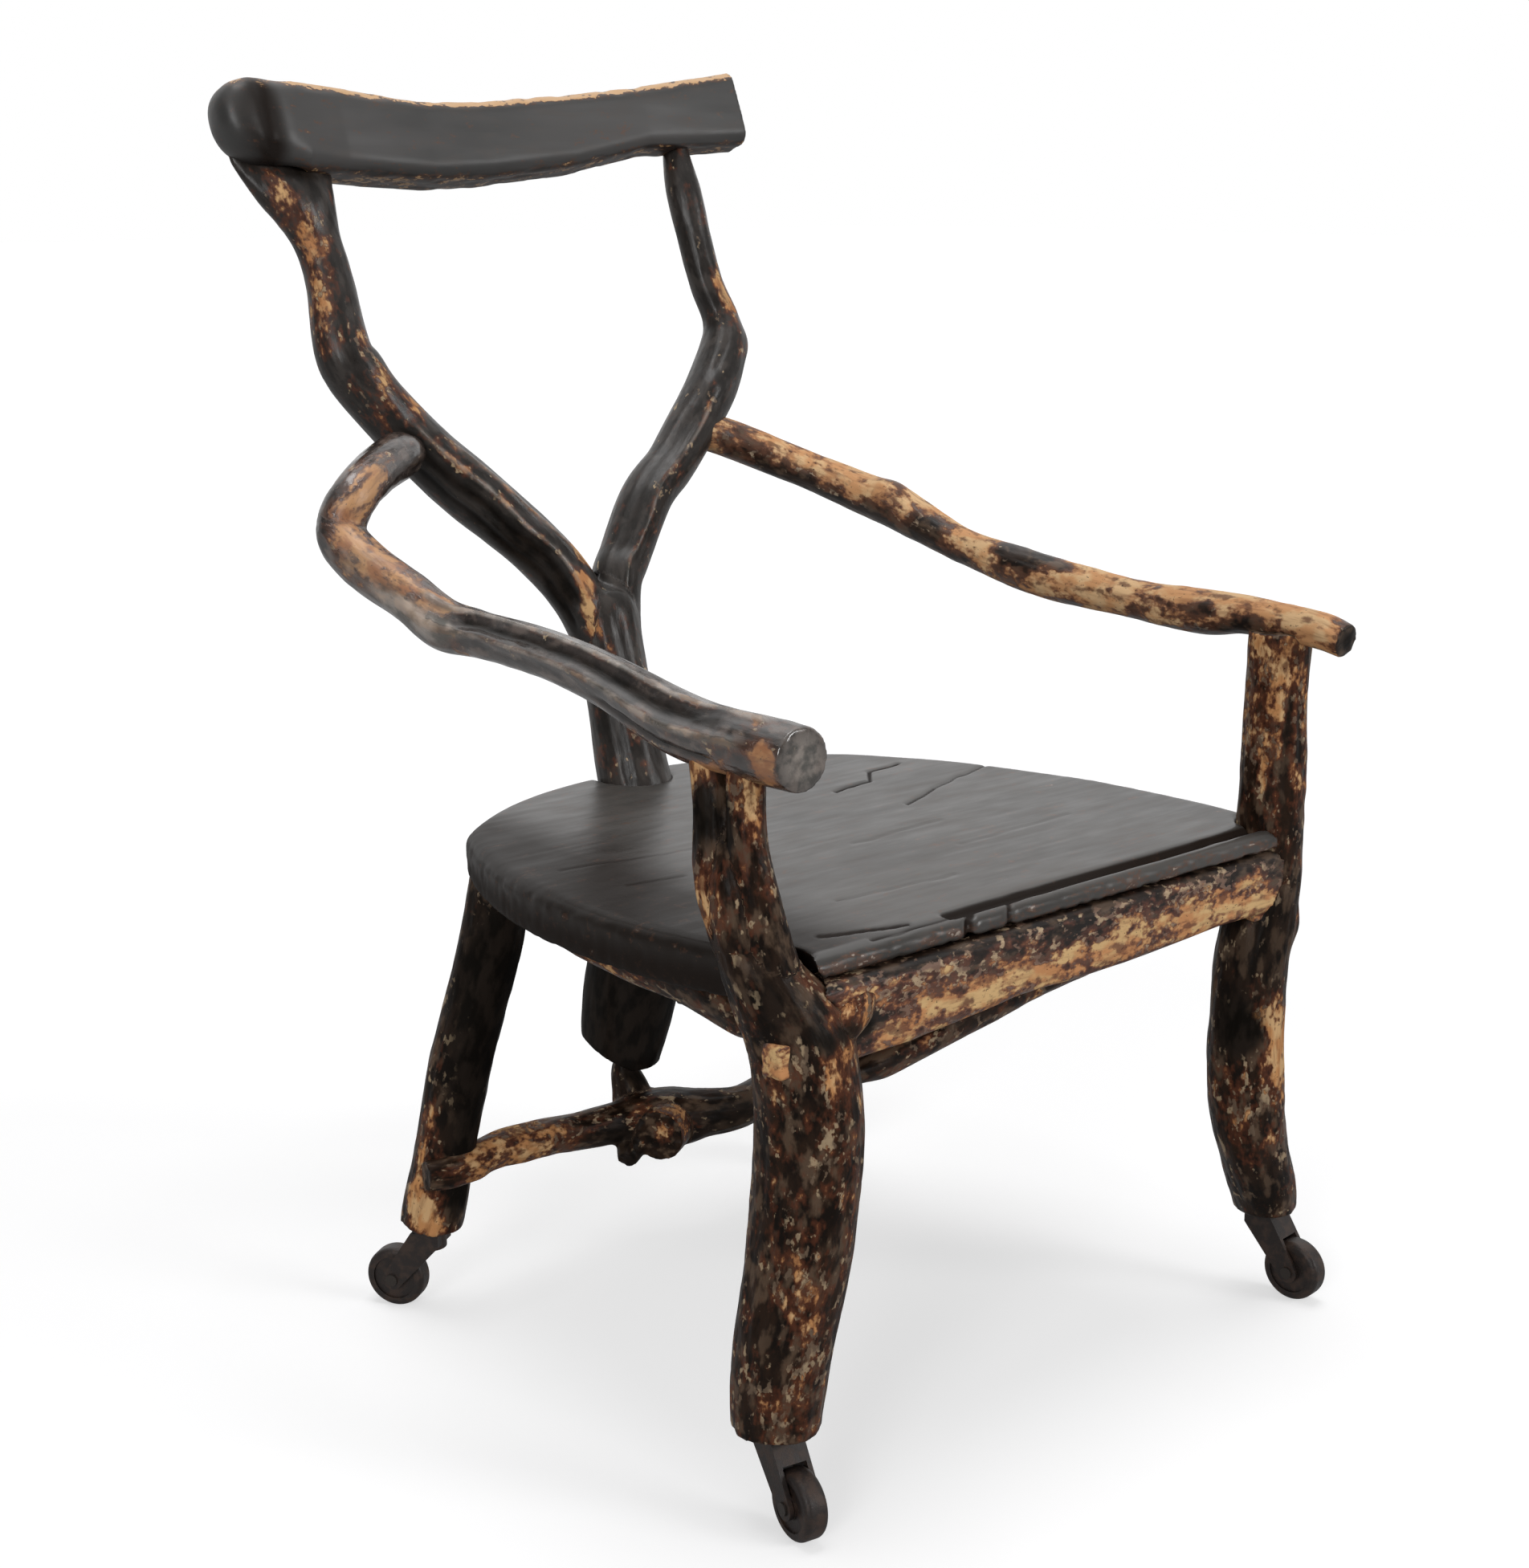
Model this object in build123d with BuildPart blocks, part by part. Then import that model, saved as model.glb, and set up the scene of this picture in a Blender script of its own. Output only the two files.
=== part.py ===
"""Twig chair: a low armchair of natural branches round a plank seat, on four swivel casters.

Millimetres. The origin is on the floor under the middle of the chair, +Z is up and -Y is the way
a sitter faces. Left and right are as seen from in front. The plan is drawn from the seat board:
x from its centre line and y from its front edge.
"""
import os
from math import cos, radians, sin

from build123d import *

# ------------------------------------------------------------------ seat board
seat_height = 410.0         # floor to the top of the seat
seat_thickness = 38.0
seat_width = 570.0          # across its widest part
seat_depth = 482.0          # front edge to the middle of the back edge
seat_front_width = 506.0    # across the front corners
seat_skew = 15.0            # how far the widest part stands to the left of the centre line
nose_thickness = 17.0       # front edge, thinned so that it laps over the front rail
nose_overhang = 10.0        # how far the rounded nose stands in front of the front edge line
seat_rim_radius = 11.0
nose_radius = 5.0           # under the nose

# ------------------------------------------------------------------ back
back_lean = 21.8            # degrees off upright
trunk_x = -34.0             # the forked branch stands a little left of the centre line
trunk_inset = 25.0          # trunk's axis to the middle of the seat's back edge
trunk_diameter = 60.0
stump_drop = 251.0          # seat top to the sawn foot of the trunk
crotch_rise = 194.0         # up the lean, from the seat top to the crotch
crest_rise = 526.0          # up the lean, from the seat top to the left end of the crest's underside
crest_tilt = 24.0           # how much higher the right end of the crest sits
crest_height = 75.0
crest_thickness = 44.0
crest_left = 286.0          # ends of the crest from the centre line
crest_right = 251.0

# ------------------------------------------------------------------ arms
left_arm_height = 548.0     # floor to the arm's axis over its post
right_arm_height = 567.0
left_arm_overhang = 19.0    # front tip of each arm in front of the seat's front edge
right_arm_overhang = 48.0
left_arm_diameter = 44.0    # over the post
right_arm_diameter = 31.0

# ------------------------------------------------------------------ legs and rails
leg_bottom = 72.0           # floor to the sawn foot of every leg
left_post_inset = 17.0      # post axes from the widest line of the seat
right_post_inset = 32.0
post_setback = 13.0         # post axes behind the front edge
left_post_diameter = 62.0   # through the seat's corner notch
right_post_diameter = 53.0
rear_leg_diameter = 50.0
rail_thickness = 35.0       # front rail, front to back, at its left end
rail_taper = 6.0            # how much thinner its right end is
rail_height = 52.0
rail_tenon_width = 19.0     # the front rail's tenons
rail_tenon_height = 23.0
rung_diameter = 24.0
side_rail_diameter = 40.0
stretcher_diameter = 29.0
round_tenon = 18.0          # turned ends of rungs, rails and legs
tenon_reach = 9.0           # how far a round tenon passes its leg's axis
short_reach = -6.0          # or stops before it, where another tenon crosses
leg_tenon = 26.0            # turned tops of the rear legs, up into the seat
leg_tenon_length = 24.0
arm_tenon = 12.0
post_tenon_root = 40.0      # how deep the tenons are rooted in their own pieces
tine_tenon_root = 48.0
left_crest_tenon = 26.0
right_crest_tenon = 17.0
crest_tenon_length = 34.0
pin_diameter = 4.0
spike_diameter = 6.0
spike_depth = 45.0
stub_diameter = 24.0
screw_diameter = 5.0
screw_length = 50.0
screw_bite = 14.0           # how far the screws go up into the seat
screw_head = 3.0
screw_well = 20.0
rail_edge_radius = 9.0
seat_corner_radius = 42.0
fit = 0.3                   # glue gap all round a joint

# ------------------------------------------------------------------ casters
wheel_diameter = 50.0
wheel_width = 18.0
trail = 30.0                # swivel axis to axle
axle_diameter = 6.0
pintle_diameter = 8.0
running_fit = 0.06          # radial clearance of axle and pintle
side_clearance = 0.6        # wheel to cheek, and plate to horn
cheek_thickness = 3.5
caster_plate = 2.5
caster_plate_diameter = 31.0
horn_hub_diameter = 26.0
horn_hub_height = 14.0
horn_recess_depth = 4.0
horn_crown_height = 10.0
horn_boss_radius = 8.5
pintle_head = 2.4
axle_head = 1.6
wheel_clearance = 2.5       # wheel to crown
wheel_edge_radius = 4.5
wheel_dish = 1.6
stem_diameter = 9.0
stem_length = 30.0

# ------------------------------------------------------------------ places worked out from the sizes
seat_underside = seat_height - seat_thickness
trunk_y = seat_depth - trunk_inset
lean = radians(back_lean)
crest_top_y = trunk_y + (crest_rise + crest_height) * sin(lean) + crest_thickness / 2
middle_x = -2.0
middle_y = (crest_top_y - right_arm_overhang) / 2


def spot(x, y, z):
    """A place given in the seat's plan, as a point of the chair."""
    return Vector(x - middle_x, y - middle_y, z)


def on_back(x, rise, forward=0.0):
    """A place on the leaning plane of the back, `rise` up the slope from the seat's top."""
    return spot(
        x,
        trunk_y + rise * sin(lean) - forward * cos(lean),
        seat_height + rise * cos(lean) + forward * sin(lean),
    )


def between(start, end, bends):
    """Stations of a crooked run: each bend is its share of the way, its offset and its thickness."""
    return [(start + (end - start) * share + Vector(*offset), size) for share, offset, size in bends]


def limb(stations, across=(1, 0, 0), level_foot=False, level_top=False, top_along=None):
    """A branch through its stations, a point and a thickness each, round or (width, depth)."""
    points = [point for point, _ in stations]
    last = len(points) - 1
    with BuildPart() as branch:
        for i, (point, size) in enumerate(stations):
            run = Vector(0, 0, 0)
            if i > 0:
                run += (point - points[i - 1]).normalized()
            if i < last:
                run += (points[i + 1] - point).normalized()
            if (i == 0 and level_foot) or (i == last and level_top):
                run = Vector(0, 0, 1)
            if i == last and top_along:
                run = top_along
            with BuildSketch(Plane(origin=point, x_dir=across, z_dir=run)):
                if isinstance(size, tuple):
                    Ellipse(size[0] / 2, size[1] / 2)
                else:
                    Circle(size / 2)
        loft(ruled=True)
    return branch.part


def rod(start, end, diameter):
    """A round bar from one point to another, for tenons, bores, copes and screws."""
    run = end - start
    with BuildPart() as bar:
        with BuildSketch(Plane(origin=start, z_dir=run)):
            Circle(diameter / 2)
        extrude(amount=run.length)
    return bar.part


def axis_at(stations, height):
    """Where a leg's axis passes a height, and how thick the leg is there."""
    for (low, low_size), (high, high_size) in zip(stations, stations[1:]):
        if min(low.Z, high.Z) <= height <= max(low.Z, high.Z):
            share = (height - low.Z) / (high.Z - low.Z)
            return low + (high - low) * share, low_size + (high_size - low_size) * share
    raise ValueError("the leg doesn't reach this height")


def finish(piece, label):
    """Labels a finished piece and writes it."""
    piece.label = label
    export_step(piece, f"parts/{label}.step")


os.makedirs("parts", exist_ok=True)

# ------------------------------------------------------------------ where the legs stand
left_post = -seat_width / 2 + left_post_inset
right_post = seat_width / 2 - right_post_inset
rear_left = -seat_width / 2 + 65
rear_right = seat_width / 2 - 142
rear_leg_y = seat_depth - 85

feet = {
    "front_left": spot(left_post + 6, post_setback + 4, leg_bottom),
    "front_right": spot(right_post + 29, post_setback + 5, leg_bottom),
    "rear_left": spot(rear_left - 42, rear_leg_y + 46, leg_bottom),
    "rear_right": spot(rear_right + 15, rear_leg_y + 35, leg_bottom),
}
# which way each caster trails in the plan, in degrees from +X
trail_angles = {
    "front_left": -100.0,
    "front_right": -84.0,
    "rear_left": 122.0,
    "rear_right": 72.0,
}

# the straight lengths that pass through the seat's corner notches
left_entry = spot(left_post + 10, post_setback - 6, seat_underside - 7)
left_exit = spot(left_post - 12, post_setback + 9, seat_height + 7)
right_entry = spot(right_post, post_setback, seat_underside - 7)
right_exit = spot(right_post, post_setback, seat_height + 5)

front_left_stations = [
    (feet["front_left"], 66.0),
    *between(
        feet["front_left"],
        left_entry,
        [
            (0.10, (0, -1, 0), 68.0),
            (0.28, (2, -5, 0), 70.0),
            (0.49, (7, -10, 0), 71.0),
            (0.73, (11, -9, 0), 72.0),
            (0.91, (6, -5, 0), 72.0),
        ],
    ),
    (left_entry, left_post_diameter),
    (left_exit, left_post_diameter),
]
front_right_stations = [
    (feet["front_right"], 52.0),
    *between(
        feet["front_right"],
        right_entry,
        [
            (0.08, (-8, -3, 0), 54.0),
            (0.20, (-23, -5, 0), 57.0),
            (0.33, (-33, -6, 0), 60.0),
            (0.55, (-33, -4, 0), 61.0),
            (0.77, (-23, -2, 0), 60.0),
            (0.93, (-9, -1, 0), 57.0),
        ],
    ),
    (right_entry, right_post_diameter),
    (right_exit, right_post_diameter),
]
rear_left_top = spot(rear_left, rear_leg_y + 2, seat_underside - fit)
rear_right_top = spot(rear_right - 10, rear_leg_y - 12, seat_underside - fit)
rear_left_stations = [
    (feet["rear_left"], 51.0),
    *between(
        feet["rear_left"],
        rear_left_top,
        [
            (0.09, (1, 0, 0), rear_leg_diameter + 1),
            (0.21, (2, 1, 0), rear_leg_diameter),
            (0.44, (3, 2, 0), rear_leg_diameter),
            (0.66, (5, -1, 0), rear_leg_diameter + 1),
            (0.86, (8, -3, 0), rear_leg_diameter + 2),
        ],
    ),
    (rear_left_top, rear_leg_diameter),
]
rear_right_stations = [
    (feet["rear_right"], 55.0),
    *between(
        feet["rear_right"],
        rear_right_top,
        [
            (0.12, (-2, 2, 0), rear_leg_diameter),
            (0.35, (3, 4, 0), rear_leg_diameter + 1),
            (0.62, (4, 1, 0), rear_leg_diameter),
            (0.85, (0, -1, 0), rear_leg_diameter + 1),
        ],
    ),
    (rear_right_top, rear_leg_diameter),
]

# ------------------------------------------------------------------ the forked back, one natural crotch
trunk_seat = on_back(trunk_x, 0)
crotch = on_back(trunk_x + 15, crotch_rise)
trunk_run = (crotch - trunk_seat).normalized()
trunk_low = trunk_seat - trunk_run * (seat_thickness + 12)
trunk_high = trunk_seat + trunk_run * 14
stump_foot = spot(trunk_x - 14, trunk_y - 1, seat_height - stump_drop)

left_tine_top = on_back(-222, crest_rise - fit)
right_tine_top = on_back(185, crest_rise + crest_tilt - fit)
left_tine_stations = between(
    crotch,
    left_tine_top,
    [
        (0.03, (-50, 0, 0), 48.0),
        (0.18, (-68, 0, 0), 52.0),
        (0.30, (-81, 0, 0), 50.0),
        (0.43, (-87, 0, 0), 48.0),
        (0.51, (-84, 0, 0), 50.0),
        (0.57, (-79, 0, 0), 46.0),
        (0.74, (-42, 0, 0), 40.0),
        (0.88, (-15, 0, 0), (52.0, 41.0)),
        (0.95, (-4, 0, 0), (64.0, 42.0)),
    ],
)
right_tine_stations = between(
    crotch,
    right_tine_top,
    [
        (0.12, (48, 0, 0), 46.0),
        (0.20, (67, 0, 0), 45.0),
        (0.29, (83, 0, 0), 46.0),
        (0.38, (96, 0, 0), 48.0),
        (0.48, (102, 0, 0), 44.0),
        (0.56, (92, 0, 0), 34.0),
        (0.65, (67, 0, 0), 31.0),
        (0.77, (43, 0, 0), 31.0),
        (0.89, (19, 0, 0), 32.0),
    ],
)
crest_up = Vector(0, sin(lean), cos(lean))
left_arm_rise = 296.0       # where the arms meet the tines, up the lean from the seat
right_arm_rise = 292.0


def tine_at(stations, rise):
    """Where a tine's axis passes a given rise, and the straight lengths round that place."""
    height = seat_height + rise * cos(lean)
    lengths = list(zip(stations, stations[1:]))
    for i, ((low, _), (high, _)) in enumerate(lengths):
        if low.Z <= height <= high.Z:
            share = (height - low.Z) / (high.Z - low.Z)
            return low + (high - low) * share, lengths[max(i - 1, 0) : i + 2]
    raise ValueError("no straight length of the tine is here")


left_tine_joint, left_tine_lengths = tine_at(left_tine_stations, left_arm_rise)
right_tine_joint, right_tine_lengths = tine_at(right_tine_stations, right_arm_rise)

# ------------------------------------------------------------------ arms
left_arm_tip = spot(left_post - 5, -left_arm_overhang, left_arm_height)
left_arm_front = spot(left_post - 5, post_setback + 5, left_arm_height)
left_arm_behind = spot(left_post - 5, post_setback + 82, left_arm_height + 2)
left_arm_end = left_tine_joint + Vector(-24, -16, 1)
right_arm_tip = spot(right_post + 2, -right_arm_overhang, right_arm_height - 6)
right_arm_front = spot(right_post + 2, post_setback - 31, right_arm_height - 1)
right_arm_behind = spot(right_post + 2, post_setback + 33, right_arm_height + 1)
right_arm_end = right_tine_joint + Vector(4, -4, 2)
left_arm_stations = [
    (left_arm_tip, left_arm_diameter),
    (left_arm_front, left_arm_diameter),
    (left_arm_behind, left_arm_diameter),
    *between(
        left_arm_behind,
        left_arm_end,
        [
            (0.18, (-15, 0, -7), 38.0),
            (0.34, (-28, 0, -20), 35.0),
            (0.51, (-43, 0, -41), 36.0),
            (0.60, (-57, 0, -50), 39.0),
            (0.68, (-70, 0, -45), 38.0),
            (0.80, (-86, 0, -42), 40.0),
            (0.85, (-94, 0, -31), 39.0),
            (0.88, (-85, -14, -8), 38.0),
            (0.93, (-53, -12, 1), 38.0),
        ],
    ),
    (left_arm_end, 40.0),
]
right_arm_stations = [
    (right_arm_tip, 26.0),
    (right_arm_front, right_arm_diameter - 2),
    (right_arm_behind, right_arm_diameter),
    *between(
        right_arm_behind,
        right_arm_end,
        [
            (0.09, (13, -1, -13), 37.0),
            (0.25, (38, -1, -31), 32.0),
            (0.42, (60, 0, -44), 38.0),
            (0.60, (81, -2, -50), 32.0),
            (0.75, (90, -1, -40), 38.0),
            (0.88, (75, 18, -25), 34.0),
            (0.96, (34, 15, -8), 35.0),
        ],
    ),
    (right_arm_end, 36.0),
]

# ------------------------------------------------------------------ rails, rung and stretcher
rail_back = post_setback + 4.5
rail_top = seat_height - nose_thickness - fit
rail_tenon_z = rail_top - 44
left_rail_leg, left_rail_leg_size = axis_at(front_left_stations, rail_tenon_z)
right_rail_leg, right_rail_leg_size = axis_at(front_right_stations, rail_tenon_z)


def rung(start, end, start_leg, end_leg, start_reach, end_reach, bends, grow=0.0):
    """A crooked round member from leg to leg with a turned tenon at each end, or its bores."""
    run = (end - start).normalized()
    first = start + run * (start_leg / 2 + 3)
    last = end - run * (end_leg / 2 + 3)
    tip = start - run * (start_reach + grow)
    toe = end + run * (end_reach + grow)
    with BuildPart() as member:
        if grow:
            add(rod(first, tip, round_tenon + 2 * grow))
            add(rod(last, toe, round_tenon + 2 * grow))
        else:
            body = [(first, round_tenon), *between(first, last, bends), (last, round_tenon)]
            add(limb([(tip, round_tenon), *body, (toe, round_tenon)], across=(0, 0, 1)))
    return member.part


# the rung passes behind the front rail and enters the right leg behind its middle
rung_place = (
    axis_at(front_left_stations, seat_height - 97)[0],
    axis_at(front_right_stations, seat_height - 58)[0] + Vector(0, 16, 0),
    72.0,
    58.0,
    tenon_reach,
    tenon_reach,
    [
        (0.10, (0, 2, -2), rung_diameter),
        (0.35, (0, 10, -3), rung_diameter + 2),
        (0.60, (0, 14, -4), rung_diameter + 1),
        (0.88, (0, 9, -1), rung_diameter - 3),
    ],
)
left_side_place = (
    axis_at(front_left_stations, seat_height - 61)[0],
    axis_at(rear_left_stations, seat_height - 54)[0],
    72.0,
    58.0,
    short_reach,
    tenon_reach,
    [
        (0.08, (4, 0, 2), side_rail_diameter - 4),
        (0.30, (5, 0, 6), side_rail_diameter),
        (0.60, (4, 0, 3), side_rail_diameter - 2),
        (0.88, (2, 0, 2), side_rail_diameter - 10),
    ],
)
right_side_place = (
    axis_at(front_right_stations, seat_height - 80)[0],
    axis_at(rear_right_stations, seat_height - 54)[0],
    60.0,
    58.0,
    short_reach,
    tenon_reach,
    [
        (0.08, (2, 0, 4), side_rail_diameter - 6),
        (0.35, (6, 0, 16), side_rail_diameter),
        (0.65, (6, 0, 8), side_rail_diameter),
        (0.90, (1, 0, 2), side_rail_diameter - 8),
    ],
)
stretcher_place = (
    axis_at(rear_left_stations, leg_bottom + 55)[0],
    axis_at(rear_right_stations, leg_bottom + 46)[0],
    57.0,
    57.0,
    tenon_reach,
    tenon_reach,
    [
        (0.08, (0, 0, -1), stretcher_diameter - 4),
        (0.30, (0, 3, -8), stretcher_diameter),
        (0.42, (0, 2, -9), stretcher_diameter + 6),
        (0.47, (0, 0, -11), stretcher_diameter + 22),
        (0.55, (0, -4, -13), stretcher_diameter + 26),
        (0.64, (0, -12, -14), stretcher_diameter + 19),
        (0.76, (0, -18, -17), stretcher_diameter + 15),
        (0.90, (0, -8, -12), stretcher_diameter + 3),
    ],
)

with BuildPart() as front_rung:
    add(rung(*rung_place))
finish(front_rung.part, "front_rung")

# the foot of the trunk stands on the stub of a side shoot of the stretcher, pinned by a spike
stub_top = stump_foot - Vector(0, 0, fit)
stub_foot = Vector(stub_top.X, stub_top.Y, leg_bottom + 46)
spike = rod(stub_foot - Vector(0, 0, 12), stump_foot + Vector(0, 0, spike_depth), spike_diameter)
spike_bore = rod(
    stub_foot - Vector(0, 0, 60),
    stump_foot + Vector(0, 0, spike_depth + fit),
    spike_diameter + 2 * fit,
)

with BuildPart() as rear_stretcher:
    add(rung(*stretcher_place))
    add(rod(stub_foot, stub_top, stub_diameter))
    add(spike_bore, mode=Mode.SUBTRACT)
finish(rear_stretcher.part, "rear_stretcher")
finish(spike, "stump_spike")


def screw_line(place, share):
    """The foot of a screw that goes up through a side rail into the seat."""
    start, end = place[0], place[1]
    along = start + (end - start) * share
    return Vector(along.X + 7, along.Y, seat_underside - screw_length + screw_bite)


screw_feet = [
    screw_line(place, share) for place in (left_side_place, right_side_place) for share in (0.36, 0.66)
]


def screw(foot, grow=0.0):
    """A countersunk iron screw standing head down, or with `grow` the hole that clears it."""
    with BuildPart() as body:
        with BuildSketch(Plane.XY.offset(foot.Z)):
            with Locations((foot.X, foot.Y)):
                Circle(screw_diameter / 2 + grow)
        extrude(amount=screw_length + grow)
        with BuildSketch(Plane.XY.offset(foot.Z - (screw_well if grow else 0))):
            with Locations((foot.X, foot.Y)):
                Circle(screw_diameter + grow)
        extrude(amount=screw_head + (screw_well if grow else 0))
    return body.part


def side_rail(place):
    """A side rail: a branch hewn flat on top, where it lies under the seat."""
    with BuildPart() as member:
        add(rung(*place))
        with BuildSketch(Plane.XY.offset(seat_underside - fit)):
            Rectangle(2 * seat_width, 2 * seat_depth)
        extrude(amount=seat_thickness, mode=Mode.SUBTRACT)
        for foot in screw_feet:
            add(screw(foot, fit), mode=Mode.SUBTRACT)
    return member.part


with BuildPart() as left_side_rail:
    add(side_rail(left_side_place))
finish(left_side_rail.part, "left_side_rail")

with BuildPart() as right_side_rail:
    add(side_rail(right_side_place))
finish(right_side_rail.part, "right_side_rail")

with BuildPart() as seat_screws:
    for foot in screw_feet:
        add(screw(foot))
finish(seat_screws.part, "seat_screws")


def rail_tenon(start_x, end_x, forward, grow=0.0):
    """A square tenon of the front rail, or with `grow` its mortise."""
    x = (start_x + end_x) / 2
    middle = spot(0, rail_back - rail_tenon_width / 2 - forward, rail_tenon_z)
    with BuildPart() as tongue:
        with BuildSketch(Plane(origin=(x, middle.Y, middle.Z), x_dir=(0, 1, 0), z_dir=(1, 0, 0))):
            Rectangle(rail_tenon_width + 2 * grow, rail_tenon_height + 2 * grow)
        extrude(amount=abs(end_x - start_x) / 2 + grow, both=True)
    return tongue.part


def fat(stations, grow=fit):
    """The stations of a limb, thickened for a cope that clears it all round."""
    return [(point, size + 2 * grow) for point, size in stations if not isinstance(size, tuple)]


left_tenon = (
    left_rail_leg.X - left_rail_leg_size / 2 - 1,
    left_rail_leg.X + left_rail_leg_size / 2 + 6,
    15.5,
)
right_tenon = (right_rail_leg.X - right_rail_leg_size / 2 - 6, right_rail_leg.X + 4, 5.0)

with BuildPart() as front_rail:
    # a split branch: flat behind and on top, bellied in front
    rail_run = right_rail_leg.X - left_rail_leg.X
    for share, droop, belly in (
        (0.0, 8, 0),
        (0.16, 6, 3),
        (0.38, 0, 1),
        (0.62, 1, 2),
        (0.84, -2, 0),
        (1.0, -2, 0),
    ):
        thickness = rail_thickness - rail_taper * share + belly
        height = rail_height + droop
        station = Vector(
            left_rail_leg.X + rail_run * share,
            spot(0, rail_back - thickness / 2, 0).Y,
            rail_top - height / 2,
        )
        with BuildSketch(Plane(origin=station, x_dir=(0, 1, 0), z_dir=(1, 0, 0))):
            RectangleRounded(thickness, height, rail_edge_radius)
    loft(ruled=True)
    add(limb(fat(front_left_stations), level_foot=True), mode=Mode.SUBTRACT)
    add(limb(fat(front_right_stations), level_foot=True), mode=Mode.SUBTRACT)
    bodies = front_rail.part.solids().sort_by(SortBy.VOLUME)
    for offcut in bodies[:-1]:
        add(offcut, mode=Mode.SUBTRACT)
    add(rail_tenon(*left_tenon))
    add(rail_tenon(*right_tenon))
finish(front_rail.part, "front_rail")

# ------------------------------------------------------------------ seat board
leg_tenon_tops = [rear_left_top, rear_right_top]

with BuildPart() as seat_board:
    front_line = -nose_overhang
    back_y = seat_depth - 79
    widest = seat_depth * 0.4
    with BuildSketch(Plane.XY.offset(seat_underside)):
        with BuildLine():
            front_left = spot(-seat_front_width / 2, front_line, 0)
            front_right = spot(seat_front_width / 2, front_line, 0)
            back_left = spot(rear_left - 23, back_y, 0)
            back_right = spot(rear_right + 22, back_y, 0)
            Line(front_left, front_right)
            ThreePointArc(front_right, spot(seat_width / 2 - seat_skew - 10, widest - 40, 0), back_right)
            ThreePointArc(back_right, spot(trunk_x, seat_depth, 0), back_left)
            ThreePointArc(back_left, spot(-seat_width / 2 - seat_skew, widest, 0), front_left)
        make_face()
        fillet(vertices().group_by(Axis.Y)[-1], seat_corner_radius)
    extrude(amount=seat_thickness)
    fillet(faces().sort_by(Axis.Z)[-1].edges(), seat_rim_radius)
    fillet(faces().sort_by(Axis.Z)[0].edges(), seat_rim_radius - 3)
    # the front edge is rebated underneath, so that the nose laps over the front rail
    with BuildSketch(Plane.XY.offset(seat_height - nose_thickness)):
        with Locations(spot(0, rail_back + fit - seat_width / 2, 0)):
            Rectangle(seat_width * 1.2, seat_width)
    extrude(amount=-seat_thickness, mode=Mode.SUBTRACT)
    fillet(edges().filter_by(Axis.X).group_by(Axis.Y)[0].sort_by(Axis.Z)[0], nose_radius)
    # notches round the front posts
    for entry, exit_, size in (
        (left_entry, left_exit, left_post_diameter),
        (right_entry, right_exit, right_post_diameter),
    ):
        run = (exit_ - entry).normalized()
        add(rod(entry - run * 20, exit_ + run * 20, size + 2 * fit), mode=Mode.SUBTRACT)
    # the open notch that the trunk of the back stands in
    notch_width = trunk_diameter + 2 * fit
    with BuildSketch(Plane(origin=trunk_low - trunk_run * 10, x_dir=(1, 0, 0), z_dir=trunk_run)):
        Circle(notch_width / 2)
        with Locations((0, trunk_diameter)):
            Rectangle(notch_width, 2 * trunk_diameter)
    extrude(amount=seat_thickness + 60, mode=Mode.SUBTRACT)
    for top in leg_tenon_tops:
        bore_end = top + Vector(0, 0, leg_tenon_length + fit)
        add(rod(top - Vector(0, 0, 5), bore_end, leg_tenon + 2 * fit), mode=Mode.SUBTRACT)
    for foot in screw_feet:
        add(screw(foot, fit), mode=Mode.SUBTRACT)
finish(seat_board.part, "seat_board")

# ------------------------------------------------------------------ legs
caster_bore_depth = stem_length + 2 * fit


def stem_bore(foot):
    """The hole in a leg's foot for the stem of its caster."""
    return rod(foot - Vector(0, 0, 1), foot + Vector(0, 0, caster_bore_depth), stem_diameter + 2 * fit)


def rear_leg(stations, places):
    """A rear leg: splayed branch, turned tenon into the seat, bores for what meets it."""
    top = stations[-1][0]
    with BuildPart() as leg:
        add(limb(stations, level_foot=True, level_top=True))
        add(rod(top - Vector(0, 0, 4), top + Vector(0, 0, leg_tenon_length), leg_tenon))
        for place in places:
            add(rung(*place, grow=fit), mode=Mode.SUBTRACT)
        add(stem_bore(stations[0][0]), mode=Mode.SUBTRACT)
    return leg.part


with BuildPart() as rear_left_leg:
    add(rear_leg(rear_left_stations, (left_side_place, stretcher_place)))
finish(rear_left_leg.part, "rear_left_leg")

with BuildPart() as rear_right_leg:
    add(rear_leg(rear_right_stations, (right_side_place, stretcher_place)))
finish(rear_right_leg.part, "rear_right_leg")

# the left post forks above the seat: two stems carry the arm
rear_saddle = spot(left_post - 5, post_setback + 61, left_arm_height - 3)
front_saddle = spot(left_post - 6, post_setback + 19, left_arm_height - 3)
left_post_run = (left_exit - left_entry).normalized()
rear_stem_stations = [
    (left_exit - left_post_run * 22 + Vector(1, 4, 0), 44.0),
    *between(
        left_exit,
        rear_saddle,
        [(0.12, (-4, 9, 0), 40.0), (0.30, (-6, 11, 0), 35.0), (0.69, (-1, 4, 0), 31.0)],
    ),
    (rear_saddle, 30.0),
]
front_stem_stations = [
    (left_exit - left_post_run * 22 + Vector(2, -4, 0), 44.0),
    *between(
        left_exit + Vector(4, -8, 0),
        front_saddle,
        [(0.10, (0, 1, 0), 36.0), (0.26, (-3, 0, 0), 31.0), (0.52, (-5, 2, 0), 28.0), (0.77, (-3, 2, 0), 27.0)],
    ),
    (front_saddle, 27.0),
]
arm_tenon_top = 6.0         # how far a post's tenon passes the arm's axis


def arm_cope(front, behind, diameter):
    """The hollow that an arm lies in on top of its post."""
    run = (behind - front).normalized()
    return rod(front - run * 45, behind + run * 12, diameter + 2 * fit)


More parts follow.
